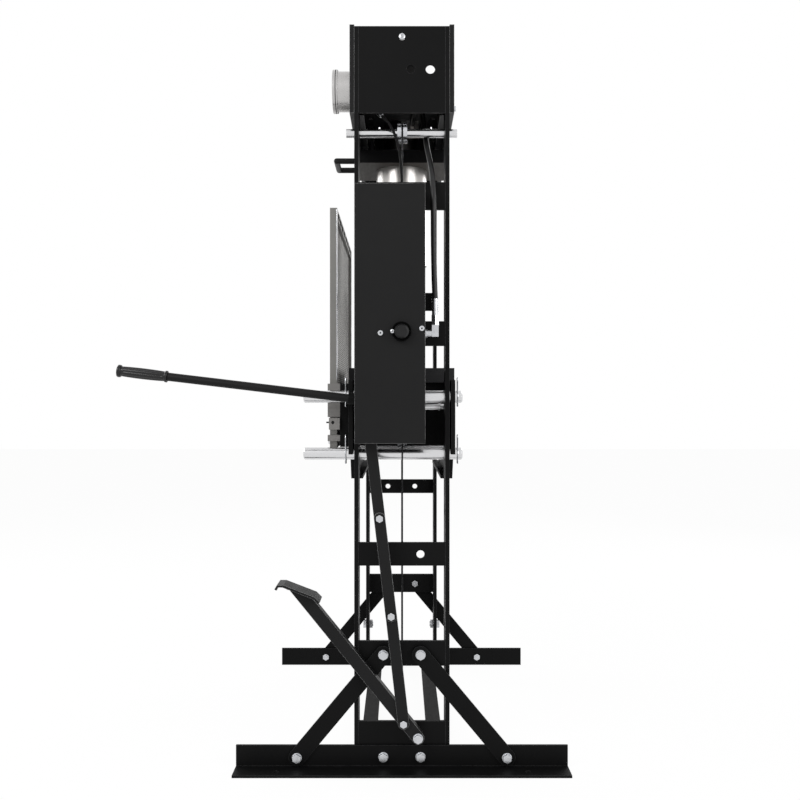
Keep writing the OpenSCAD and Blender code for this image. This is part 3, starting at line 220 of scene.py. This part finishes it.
def rubber(name, colour, rough):
    """Rubber with a fine skin and paler scuffs."""
    f = Finish(name)
    scuff = f.above(f.noise(120, 5), 0.58, 0.8) * 0.5
    shade = f.tint(scuff, colour, tuple(c * 2.0 for c in colour))
    return f.surface(Base_Color=shade, Roughness=rough + scuff * 0.2, Specular_IOR_Level=0.35,
                     Normal=f.bump(f.noise(1500, 2), 0.00004))


def cast_iron(name):
    """Dark painted casting with a sandy skin."""
    f = Finish(name)
    sand = f.noise(420, 5)
    shade = f.tint(sand, (0.02, 0.02, 0.022), (0.05, 0.05, 0.053))
    return f.surface(Base_Color=shade, Roughness=0.55 + (sand - 0.5) * 0.2,
                     Normal=f.bump(sand, 0.0003, f.round_edges(0.001)))


def anodised(name, colour):
    """Grey anodised section with drawing lines along its height."""
    f = Finish(name)
    lines = f.noise(700, 2, (1, 1, 0.02))
    shade = f.tint(f.noise(14, 3), tuple(c * 0.88 for c in colour), tuple(c * 1.1 for c in colour))
    # painted highlight: the section is lighter along its sharp edges, where light glints
    shade = f.tint(f.edges(0.001) * 0.6, shade, tuple(min(1, c * 1.4) for c in colour))
    return f.surface(Base_Color=shade, Metallic=0.6, Roughness=0.45 + (lines - 0.5) * 0.2,
                     Normal=f.bump(lines, 0.00003, f.round_edges(0.0008)))


def punched_sheet(name, colour, pitch=0.0065, hole=0.0021):
    """Grey sheet with rows of small round holes, every other row shifted by half a pitch; the holes are
    painted shade.
    """
    f = Finish(name)
    at = f.place()
    x = f.node("SeparateXYZ", None, at, output="X")
    z = f.node("SeparateXYZ", None, at, output="Z")
    rows = z / (pitch * 0.866)
    row = f.node("Math", {"operation": "FLOOR"}, rows)
    odd = f.node("Math", {"operation": "FLOORED_MODULO"}, row, 2.0)
    across = f.node("Math", {"operation": "FRACT"}, x / pitch + odd * 0.5) - 0.5
    along = f.node("Math", {"operation": "FRACT"}, rows) - 0.5
    far = (across * across + along * along * 0.75) ** 0.5
    open_ = 1 - f.above(far, hole / pitch - 0.05, hole / pitch + 0.05)
    shade = f.tint(f.noise(20, 3), tuple(c * 0.85 for c in colour), tuple(c * 1.15 for c in colour))
    # painted shade: the holes are coloured near black for the shade inside them
    shade = f.tint(open_, shade, (0.012, 0.012, 0.012))
    return f.surface(Base_Color=shade, Roughness=0.5 + open_ * 0.4, Metallic=0.2 - open_ * 0.2,
                     Normal=f.bump(1 - open_, 0.0006))


def enamel(name, colour, rough=0.3, gloss=0.12):
    """Even enamel with faint stains."""
    f = Finish(name)
    stain = f.noise(60, 4)
    shade = f.tint(stain, tuple(c * 0.93 for c in colour), colour)
    return f.surface(Base_Color=shade, Roughness=rough + (stain - 0.5) * 0.1, Specular_IOR_Level=gloss)


def clear_glass(name):
    """Glass that shows the dial through a thin mirror."""
    f = Finish(name)
    gloss = f.node("BsdfPrincipled", None, Base_Color=(0.9, 0.94, 0.95, 1), Roughness=0.03,
                   Transmission_Weight=1.0, IOR=1.1)
    open_ = f.node("BsdfTransparent", None, Color=(1, 1, 1, 1))
    mixed = f.node("MixShader", None, 0.85, gloss, open_)
    f.tree.links.new(mixed.out, f.end.inputs["Surface"])
    return f.material


def moulded(name, colour):
    """Phenolic moulding with a faint flow pattern."""
    f = Finish(name)
    flow = f.noise(80, 4)
    shade = f.tint(flow, tuple(c * 0.8 for c in colour), tuple(c * 1.3 for c in colour))
    return f.surface(Base_Color=shade, Roughness=0.26 + (flow - 0.5) * 0.12, Specular_IOR_Level=0.25,
                     Normal=f.bump(f.noise(700, 2), 0.00003, f.round_edges(0.0012)))


FINISHES = {
    "black_paint": painted("black_paint", (0.0038, 0.0038, 0.0039), rough=0.5, gloss=0.08),
    # the edge colours of sheet_black and satin_black are mostly painted highlights on folded edges, with
    # some wear
    "sheet_black": painted("sheet_black", (0.0078, 0.0078, 0.008),
                           0.42, 0.12, (0.3, 0.3, 0.3), 0.0014, 0.13),
    "satin_black": painted("satin_black", (0.010, 0.010, 0.011),
                           0.36, 0.3, (0.12, 0.12, 0.125), 0.001, 0.25),
    "zinc_steel": bare_steel("zinc_steel", (0.56, 0.57, 0.59), 0.24, spots=0.4),
    "bright_steel": bare_steel("bright_steel", (0.66, 0.66, 0.67), 0.2, (1, 0.05, 1), 900, 0.06, 0.25),
    "honed_steel": bare_steel("honed_steel", (0.45, 0.435, 0.42), 0.3, (1, 1, 6), 300, 0.1, 0.2),
    # painted shade: cable_steel is a near-black copy of steel, darkened for the shade the cable sits in
    "cable_steel": bare_steel("cable_steel", (0.02, 0.02, 0.021), 0.5, (1, 1, 1), 400, 0.4),
    "chromed_rod": bare_steel("chromed_rod", (0.78, 0.79, 0.81), 0.08, (1, 1, 12), 300, 0.05),
    "gauge_metal": bare_steel("gauge_metal", (0.5, 0.49, 0.485), 0.26, (1, 8, 1), 200, 0.2, 0.5),
    "dial_white": enamel("dial_white", (0.82, 0.82, 0.79)),
    "gauge_glass": clear_glass("gauge_glass"),
    "needle_black": enamel("needle_black", (0.0025, 0.0025, 0.0025), 0.8, 0.01),
    "hose_rubber": rubber("hose_rubber", (0.007, 0.007, 0.0075), 0.38),
    "grip_rubber": rubber("grip_rubber", (0.006, 0.006, 0.0065), 0.24),
    "pump_iron": cast_iron("pump_iron"),
    "knob_plastic": moulded("knob_plastic", (0.006, 0.006, 0.0063)),
    # the carriage's grey underside is bare steel plus a painted reflection of the cylinder
    "carriage_grey": paint_with_lit_bare_underside("carriage_grey", (0.006, 0.006, 0.0062), (0.034, 0.030, 0.026)),
    "guide_alloy": anodised("guide_alloy", (0.22, 0.213, 0.205)),
    "guard_alloy": anodised("guard_alloy", (0.20, 0.196, 0.186)),
    "guard_mesh": punched_sheet("guard_mesh", (0.38, 0.37, 0.355)),
}
SLOT_OF = {part["node"]: part["material_slot"] for part in frame["record"]["subparts"]}
for node_name, solid in frame["nodes"].items():
    for held in solid.material_slots:
        held.material = FINISHES[SLOT_OF[node_name]]


# ---------------------------------------------------------------- surfaces
def add_piece(name, mesh, slot, body):
    """Object of a mesh with its finish, its slot and, if one is given, the body that it rides."""
    piece = bpy.data.objects.new(name, mesh)
    bpy.context.scene.collection.objects.link(piece)
    mesh.materials.append(FINISHES[slot])
    if body:
        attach(piece, body)
    return piece


def skin(name, points, caps=False, looped=False, slot="black_paint", body="frame"):
    """Mesh of a grid of points[i, j], where j runs round the form.

    With caps a face closes each end, and with looped the last row meets the first.
    """
    rows, sides = points.shape[:2]
    i, j = np.meshgrid(np.arange(rows if looped else rows - 1), np.arange(sides), indexing="ij")
    k, n = (j + 1) % sides, (i + 1) % rows
    quads = np.stack([i * sides + j, i * sides + k, n * sides + k, n * sides + j], -1)
    verts, faces = points.reshape(-1, 3), quads.reshape(-1, 4).tolist()
    if caps:
        for row, step in ((0, -1), (rows - 1, 1)):
            ring = (row * sides + np.arange(sides))[::step]
            faces.append(ring.tolist())
    mesh = bpy.data.meshes.new(name)
    mesh.from_pydata(verts.tolist(), [], faces)
    mesh.update()
    mesh.polygons.foreach_set("use_smooth", [len(face) == 4 for face in faces])
    return add_piece(name, mesh, slot, body)


def spline(route, steps):
    """Catmull-Rom curve through the points of a route, the same curve as the solids follow."""
    p = np.array(route, float)
    ends = np.vstack([p[:1], p, p[-1:]])
    t = np.linspace(0, 1, steps, endpoint=False)[:, None]
    parts = []
    for a, b, c, d in zip(ends[:-3], ends[1:-2], ends[2:-1], ends[3:]):
        parts.append(b + t / 2 * (c - a + t * (2 * a - 5 * b + 4 * c - d + t * (3 * b - 3 * c + d - a))))
    return np.vstack(parts + [p[-1:]])


def along(path, radius, sides, side):
    """Rings about a path: radius(distance, angle) is the form's radius at each point."""
    ahead = np.gradient(path, axis=0)
    ahead /= np.linalg.norm(ahead, axis=1)[:, None]
    u = np.cross(ahead, side)
    u /= np.linalg.norm(u, axis=1)[:, None]
    v = np.cross(ahead, u)
    far = np.concatenate([[0], np.cumsum(np.linalg.norm(np.diff(path, axis=0), axis=1))])
    a = np.linspace(0, 2 * math.pi, sides, endpoint=False)
    r = radius(far[:, None], a[None])
    return path[:, None] + r[..., None] * (np.cos(a)[None, :, None] * u[:, None]
                                           + np.sin(a)[None, :, None] * v[:, None])


# ---------------------------------------------------------------- hand grip
TILT = math.radians(6.8)
LEVER_DIR = (0, -math.cos(TILT), math.sin(TILT))
GRIP_LEN, LEVER_END = 0.120, (0.078 / math.cos(TILT)) + 0.552
SOCKET_REAR = np.array([0.4705, -0.050, 0.895 - (0.135 - 0.050) * math.tan(TILT)])


def grip():
    """Radius swells as half a sine from neck to neck, with 7 long hollow flutes, a lip and an end flange.

    At angle a the radius loses depth * (1 - |sin(3.5 a)| ** 0.7), and depth fades out at both necks.
    Each row is (distance from the front of the grip, radius, depth of the flutes).
    """
    turn = np.array(LEVER_DIR)
    start = SOCKET_REAR + turn * (LEVER_END - GRIP_LEN)
    s = np.linspace(0, 1, 90)
    rows = [(0.0, 0.0101, 0), (0.0002, 0.0128, 0), (0.001, 0.0139, 0), (0.0045, 0.0140, 0),
            (0.0062, 0.0134, 0), (0.0068, 0.0118, 0)]
    rows += [(0.0074 + t * (GRIP_LEN - 0.0174), 0.0116 + 0.0017 * math.sin(math.pi * t) ** 0.6,
              0.0016 * min(1, 5 * math.sin(math.pi * t))) for t in s]
    rows += [(GRIP_LEN - 0.0096, 0.0124, 0), (GRIP_LEN - 0.0084, 0.0140, 0), (GRIP_LEN - 0.0066, 0.0148, 0),
             (GRIP_LEN - 0.003, 0.0150, 0), (GRIP_LEN - 0.0008, 0.0144, 0), (GRIP_LEN - 0.0001, 0.0126, 0),
             (GRIP_LEN, 0.006, 0)]
    far, size, depth = np.array(rows).T
    a = np.linspace(0, 2 * math.pi, 84, endpoint=False)
    radius = size[:, None] - depth[:, None] * (1 - np.abs(np.sin(3.5 * a))[None] ** 0.7)
    u = np.array([1.0, 0, 0])
    v = np.cross(turn, u)
    ring = np.cos(a)[:, None] * u + np.sin(a)[:, None] * v
    points = start + far[:, None, None] * turn + radius[..., None] * ring[None]
    piece = skin("fluted_grip", points, caps=True, slot="grip_rubber", body="lever")
    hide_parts("lever_grip")


grip()

# ---------------------------------------------------------------- hose, line and cable
HOSE = MM * np.array([
    [470, 79, 1131], [470, 77, 1180.1], [470, 75.5, 1260], [468, 75, 1329.9], [456, 74.5, 1388.1],
    [432, 73, 1436], [400, 68, 1480], [367, 62, 1524], [345, 57, 1572], [322, 52, 1618],
    [285, 47, 1648], [235, 40, 1661], [180, 33, 1662], [130, 30, 1662], [89.1, 30, 1662]])
LINE = MM * np.array([
    [430, 0, 1094], [423, 0, 1096], [417, 0, 1104], [414, 0, 1124], [414, 0, 1300],
    [414, 0, 1420], [414, -4, 1482], [414, -13, 1525], [413, -28, 1560],
    [412, -44, 1579], [411, -54, 1589], [410, -64, 1599], [402, -70, 1618], [382, -72, 1642],
    [365, -75, 1656], [359, -84, 1660], [359, -92.5, 1660]])


def hose():
    """Round hose with a shallow spiral of cloth marks: radius 6.7 mm + 0.06 mm * sin(6 a + 1400 s)."""
    path = spline(HOSE, 14)
    radius = lambda s, a: 0.0067 + 0.00006 * np.sin(a * 6 + s * 1400)
    piece = skin("hose", along(path, radius, 32, (0, 1, 0.1)), caps=True, slot="hose_rubber", body=None)
    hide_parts("hydraulic_hose")
    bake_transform(piece)


def gauge_pipe():
    """Plain pipe of radius 3.25 mm about the spline of the gauge's line."""
    path = spline(LINE, 8)
    piece = skin("gauge_pipe", along(path, lambda s, a: 0.00325 + 0 * s * a, 20, (1, 0.2, 0)), caps=True)
    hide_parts("gauge_line")


WRAP = 0.0198        # radius of the cable's centre on a sheave
PIN_X, TOP_Z, FOOT_Z, BED_X, BED_Z, CABLE_Y = 0.3875, 1.548, 0.0585, 0.290, 0.765, 0.001
WINCH_Z = 1.150      # where the cable's near end meets the winch


def cable():
    """Six strands twisted about the cable's line: radius 1.6 mm + 0.4 mm * |cos(3 a + 260 s)|."""
    span = np.array([BED_X - PIN_X, BED_Z - TOP_Z])
    cross_dir = math.atan2(span[1], span[0]) + math.asin(2 * WRAP / np.linalg.norm(span))
    leave = cross_dir + math.radians(270)

    def arc(x, z, a0, a1):
        a = np.linspace(a0, a1, 24)
        return np.stack([x + WRAP * np.cos(a), np.full_like(a, CABLE_Y), z + WRAP * np.sin(a)], -1)
    q = math.pi / 2
    anchor = (-PIN_X - WRAP * math.cos(leave), TOP_Z + WRAP * math.sin(leave) - 0.008)
    corners = np.vstack([
        [[-PIN_X - WRAP, CABLE_Y, WINCH_Z]],
        arc(-PIN_X, FOOT_Z, 2 * q, 3 * q), arc(PIN_X, FOOT_Z, 3 * q, 4 * q), arc(PIN_X, TOP_Z, 0, leave),
        arc(BED_X, BED_Z, leave - 2 * q, -q), arc(-BED_X, BED_Z, -q, -leave),
        [[anchor[0], CABLE_Y, anchor[1]]]])
    far = np.concatenate([[0], np.cumsum(np.linalg.norm(np.diff(corners, axis=0), axis=1))])
    keep = np.concatenate([[True], np.diff(far) > 1e-6])
    places = np.arange(0, far[-1], 0.0045)
    path = np.stack([np.interp(places, far[keep], corners[keep, k]) for k in range(3)], -1)
    radius = lambda s, a: 0.0016 + 0.0004 * np.abs(np.cos(3 * a + s * 260))
    piece = skin("strand_cable", along(path, radius, 18, (0, 1, 0)), caps=True, slot="cable_steel")
    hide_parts("lift_cable")


hose()
gauge_pipe()
cable()

# ---------------------------------------------------------------- dial
DIAL_AT, DIAL_FACE = (0.359, 1.660), -0.16215
NUMBER_RADIUS, NUMBER_SIZE, SEAM_Y = 0.0275, 0.0085, -0.1634
DIAL_STEPS, DIAL_LONG = 60, 10          # steps of the scale, and steps from one long mark to the next


def dial_angle(share):
    """Angle of a share of the dial's range, from the lower left clockwise."""
    return math.radians(225 - 270 * share)


def dial_marks():
    """Short bars at every step of the scale, longer and wider at every tenth."""
    verts, faces = [], []
    for k in range(DIAL_STEPS + 1):
        long = k % DIAL_LONG == 0
        r0, r1, w = (0.034 if long else 0.037), 0.0415, (0.0007 if long else 0.0003)
        t = dial_angle(k / DIAL_STEPS)
        u, v = np.array([math.cos(t), 0, math.sin(t)]), np.array([-math.sin(t), 0, math.cos(t)])
        c = np.array([DIAL_AT[0], DIAL_FACE, DIAL_AT[1]])
        b = len(verts)
        for depth in (0.0, -0.0001):
            for r, s in ((r0, -1), (r1, -1), (r1, 1), (r0, 1)):
                verts.append(c + r * u + s * w * v + np.array([0, depth, 0]))
        faces += [[b + 4, b + 5, b + 6, b + 7], [b + 3, b + 2, b + 1, b]]
        faces += [[b + i, b + (i + 1) % 4, b + 4 + (i + 1) % 4, b + 4 + i] for i in range(4)]
    mesh = bpy.data.meshes.new("dial_marks")
    mesh.from_pydata([list(p) for p in verts], [], faces)
    add_piece("dial_marks", mesh, "needle_black", "frame")


def dial_numbers():
    """Numbers 0 to 60 by the long marks, as flat meshes."""
    for k in range(DIAL_STEPS // DIAL_LONG + 1):
        text = bpy.data.curves.new("number", "FONT")
        text.body, text.size = str(k * DIAL_LONG), NUMBER_SIZE
        text.align_x, text.align_y = "CENTER", "CENTER"
        text.extrude = 0.00005
        holder = bpy.data.objects.new("number", text)
        bpy.context.scene.collection.objects.link(holder)
        bpy.context.view_layer.update()
        mesh = bpy.data.meshes.new_from_object(holder.evaluated_get(bpy.context.evaluated_depsgraph_get()))
        bpy.data.objects.remove(holder)
        t = dial_angle(k * DIAL_LONG / DIAL_STEPS)
        x, z = DIAL_AT[0] + NUMBER_RADIUS * math.cos(t), DIAL_AT[1] + NUMBER_RADIUS * math.sin(t)
        mesh.transform(Matrix.Translation((x, DIAL_FACE, z)) @ Matrix.Rotation(math.pi / 2, 4, "X"))
        mesh.materials.clear()
        add_piece("dial_number_%d" % (k * DIAL_LONG), mesh, "needle_black", "frame")


def bezel_seam():
    """Dark ring where bezel meets case: a thin ring about the gauge's axis, round in section."""
    a = np.linspace(0, 2 * math.pi, 97)[:-1, None]
    b = np.linspace(0, 2 * math.pi, 9)[None, :-1]
    r = 0.0521 + 0.0011 * np.cos(b)
    points = np.stack([DIAL_AT[0] + r * np.cos(a), SEAM_Y + 0.0011 * np.sin(b) + 0 * a,
                       DIAL_AT[1] + r * np.sin(a)], -1)
    skin("bezel_seam", points, looped=True, slot="needle_black")


dial_marks()
dial_numbers()
bezel_seam()


# ---------------------------------------------------------------- painted slot shades, trim, bolts, painted socket shades, weld beads
GUARD_REAR = -0.163                     # rear face of the guard's rails
TRIM_X, TRIM_Y = 0.3311, -0.1640        # middle of the near stile's rear edge
KNOB_Y, KNOB_Z, KNOB_BOLT_Y = -0.001, 1.048, -0.022
SOCKET_X = 0.53255                      # bottom of the sockets of the cover's two screws
WELD_X, WELD_Y, WELD_REACH = 0.4215, 0.1045, 0.0026


def guard_slot_shades():
    """Thin dark stadium-shaped sheets along the guard's top rail and its far rail, seen from behind:
    painted shade in the slots.
    """
    a = np.linspace(0, 2 * math.pi, 25)[:-1]
    half, r, depth = 0.0215, 0.0072, 0.0002
    ring = np.stack([r * np.cos(a) + half * np.sign(np.cos(a)), r * np.sin(a)], -1)
    spots = [((x, 1.3615), 0) for x in np.linspace(-0.30, 0.28, 8)]
    spots += [((-0.3305, z), 1) for z in np.linspace(0.86, 1.30, 7)]
    for k, ((x, z), upright) in enumerate(spots):
        p, q = (ring[:, 1], ring[:, 0]) if upright else (ring[:, 0], ring[:, 1])
        rows = [np.stack([x + p * m, np.full_like(p, GUARD_REAR + d), z + q * m], -1)
                for m, d in ((1.0, 0.0), (1.0, depth), (0.02, depth))]
        skin("guard_slot_%02d" % k, np.array(rows[::-1] if upright else rows), caps=True,
             slot="needle_black", body="guard")


def stile_trim():
    """Bright trim on the rear edge of the guard's near stile: a rounded oblong carried up the stile."""
    a = np.linspace(0, 2 * math.pi, 33)[:-1]
    oblong = lambda t, size: size * np.sign(t) * np.abs(t) ** 0.3
    x, y = TRIM_X + oblong(np.cos(a), 0.0121), TRIM_Y + oblong(np.sin(a), 0.0012)
    heights = np.concatenate([[0.9402], np.linspace(0.941, 1.371, 40), [1.3718]])
    grow = np.where((heights < 0.9405) | (heights > 1.3715), 0.97, 1.0)[:, None]
    points = np.stack([TRIM_X + (x - TRIM_X) * grow, TRIM_Y + (y - TRIM_Y) * grow,
                       heights[:, None] + 0 * x], -1)
    skin("stile_trim", points, caps=True, slot="zinc_steel", body="guard")


def button_head(name, at, size, body):
    """Button head across X with a round socket.

    Its dome stands 0.26 * size * (1 + sqrt(1 - (r / size) ** 2)) high at radius r.
    """
    t = np.linspace(0, 0.5 * math.pi, 8)[1:-1]
    r = size * np.concatenate([[1, 1], np.cos(t), [0.41, 0.37, 0.09]])
    high = size * np.concatenate([[0, 0.26], 0.26 + 0.26 * np.sin(t), [0.517, 0.26, 0.217]])
    a = np.linspace(0, 2 * math.pi, 49)[:-1]
    points = np.stack([at[0] + high[:, None] + 0 * a, at[1] + r[:, None] * np.cos(a),
                       at[2] + r[:, None] * np.sin(a)], -1)
    skin(name, points, caps=True, slot="zinc_steel", body=body)


def knob_rim():
    """Flat dark ring on the knob's base: a thin rectangle carried round the knob's axis."""
    a = np.linspace(0, 2 * math.pi, 65)[:-1, None]
    r = np.array([[0.0171, 0.0228, 0.0228, 0.0171]])
    points = np.stack([np.array([[0.5442, 0.5442, 0.5440, 0.5440]]) + 0 * a, KNOB_Y + r * np.cos(a),
                       KNOB_Z + r * np.sin(a)], -1)
    skin("knob_rim", points, looped=True, slot="needle_black", body="knob")


def socket_shade(name, at, size, body):
    """Painted shade in the bottom of a screw's socket: a thin dark disc across X whose rim is a circle."""
    a = np.linspace(0, 2 * math.pi, 25)[:-1]
    rows = [np.stack([np.full_like(a, at[0] + depth), at[1] + r * np.cos(a), at[2] + r * np.sin(a)], -1)
            for r, depth in ((size, 0), (size, 0.00008), (size * 0.1, 0.0001))]
    skin(name, np.array(rows), caps=True, slot="needle_black", body=body)


def weld(name, start, end, reach):
    """A bead along a line: radius reach * (0.86 + 0.14 * |sin(900 s)|), tapered over both ends."""
    n = max(int(np.linalg.norm(np.array(end) - start) / 0.0012), 8)
    t = np.linspace(0, 1, n)[:, None]
    path = np.array(start) * (1 - t) + np.array(end) * t
    size = np.linalg.norm(np.array(end) - start)
    swell = lambda s, a: reach * (0.86 + 0.14 * np.abs(np.sin(s * 900))) * np.clip(
        np.minimum(s, size - s) * 400 + 0.25, 0.25, 1) + 0 * a
    skin(name, along(path, swell, 10, (1, 0.1, 0)), caps=True)


def welds():
    """Beads in the inner corners where the cross plates meet the posts."""
    plates = {1: [(0.004, 0.108), (0.25, 0.302), (0.492, 0.541), (1.025, 1.077), (1.355, 1.414),
                  (1.59, 1.79)],
              -1: [(0.004, 0.074), (0.25, 0.302), (0.582, 0.62), (1.193, 1.245), (1.59, 1.79)]}
    for s, spans in plates.items():
        for k, (z0, z1) in enumerate(spans):
            for side, y in (("front", -WELD_Y), ("rear", WELD_Y)):
                name = "weld_%s_%d_%s" % ("right" if s > 0 else "left", k, side)
                weld(name, (s * WELD_X, y, z0), (s * WELD_X, y, z1), WELD_REACH)


guard_slot_shades()
button_head("knob_bolt", (0.546, KNOB_BOLT_Y, KNOB_Z), 0.0046, "knob")
button_head("head_plate_bolt", (0.430, 0.0002, 1.7705), 0.0078, "frame")
knob_rim()
stile_trim()
socket_shade("socket_shade_front", (SOCKET_X, -0.050, 1.045), 0.0019, "frame")
socket_shade("socket_shade_rear", (SOCKET_X, 0.046, 1.0555), 0.0019, "frame")
socket_shade("socket_shade_knob", (0.54702, KNOB_BOLT_Y, KNOB_Z), 0.0014, "knob")
welds()


# ---------------------------------------------------------------- floor, world and lamps
FLOOR_HALF, FLOOR_GREY, FLOOR_WHITE = 14, 0.9, 0.95     # half its side, its colour, share of plain white
SKY_LEVEL = 0.55                                        # what diffuse surfaces get from all round


def not_diffuse(tree):
    """1 for rays that come straight from the lens, off gloss or through glass, and 0 for the rest."""
    path = tree.nodes.new("ShaderNodeLightPath")
    seen = path.outputs["Is Camera Ray"]
    for name in ("Is Transmission Ray", "Is Glossy Ray"):
        more = tree.nodes.new("ShaderNodeMath")
        more.operation = "MAXIMUM"
        tree.links.new(seen, more.inputs[0])
        tree.links.new(path.outputs[name], more.inputs[1])
        seen = more.outputs[0]
    return seen


def white_to_the_lens(tree, shader, share):
    """Mixes a surface with plain white for rays that come from the lens, off gloss or through glass."""
    white = tree.nodes.new("ShaderNodeEmission")
    white.inputs["Color"].default_value = (1, 1, 1, 1)
    part = tree.nodes.new("ShaderNodeMath")
    part.operation = "MULTIPLY"
    part.inputs[1].default_value = share
    tree.links.new(not_diffuse(tree), part.inputs[0])
    mix = tree.nodes.new("ShaderNodeMixShader")
    tree.links.new(part.outputs[0], mix.inputs[0])
    tree.links.new(shader.outputs[0], mix.inputs[1])
    tree.links.new(white.outputs[0], mix.inputs[2])
    return mix


def floor():
    """Pale matt square under the press that keeps its shadow."""
    mesh = bpy.data.meshes.new("floor")
    far = FLOOR_HALF
    mesh.from_pydata([(-far, -far, 0), (far, -far, 0), (far, far, 0), (-far, far, 0)], [], [(0, 1, 2, 3)])
    ground = bpy.data.objects.new("floor", mesh)
    bpy.context.scene.collection.objects.link(ground)
    pale = bpy.data.materials.new("pale_floor")
    pale.use_nodes = True
    tree = pale.node_tree
    tree.nodes.clear()
    matt = tree.nodes.new("ShaderNodeBsdfDiffuse")
    matt.inputs["Color"].default_value = (FLOOR_GREY, FLOOR_GREY, FLOOR_GREY, 1)
    out = tree.nodes.new("ShaderNodeOutputMaterial")
    tree.links.new(white_to_the_lens(tree, matt, FLOOR_WHITE).outputs[0], out.inputs["Surface"])
    mesh.materials.append(pale)


def world():
    """Grey light from all round; the lens, gloss and glass see it as white."""
    sky = bpy.data.worlds.new("studio")
    bpy.context.scene.world = sky
    sky.use_nodes = True
    tree = sky.node_tree
    tree.nodes.clear()
    level = tree.nodes.new("ShaderNodeMapRange")
    level.inputs["To Min"].default_value = SKY_LEVEL
    level.inputs["To Max"].default_value = 1.0
    tree.links.new(not_diffuse(tree), level.inputs["Value"])
    light = tree.nodes.new("ShaderNodeBackground")
    light.inputs["Color"].default_value = (1, 1, 1, 1)
    tree.links.new(level.outputs[0], light.inputs["Strength"])
    out = tree.nodes.new("ShaderNodeOutputWorld")
    tree.links.new(light.outputs[0], out.inputs["Surface"])


def lamp(name, place, aim, size, power):
    """Square area lamp at a place, turned to a point."""
    data = bpy.data.lights.new(name, "AREA")
    data.shape, data.size, data.energy = "SQUARE", size, power
    holder = bpy.data.objects.new(name, data)
    holder.location = place
    holder.rotation_euler = (Vector(aim) - Vector(place)).to_track_quat("-Z", "Y").to_euler()
    bpy.context.scene.collection.objects.link(holder)


floor()
world()
lamp("key", (3.4, -2.6, 3.2), (0.2, 0, 0.9), 2.2, 95)
lamp("fill", (2.8, 2.9, 2.2), (0.2, 0, 0.9), 2.4, 60)
lamp("rim_front", (-1.6, -3.2, 2.6), (0, 0, 1.0), 2.0, 60)
lamp("rim_back", (-2.6, 2.4, 2.4), (0, 0, 1.0), 2.0, 50)
bpy.context.scene.view_settings.view_transform = "Standard"
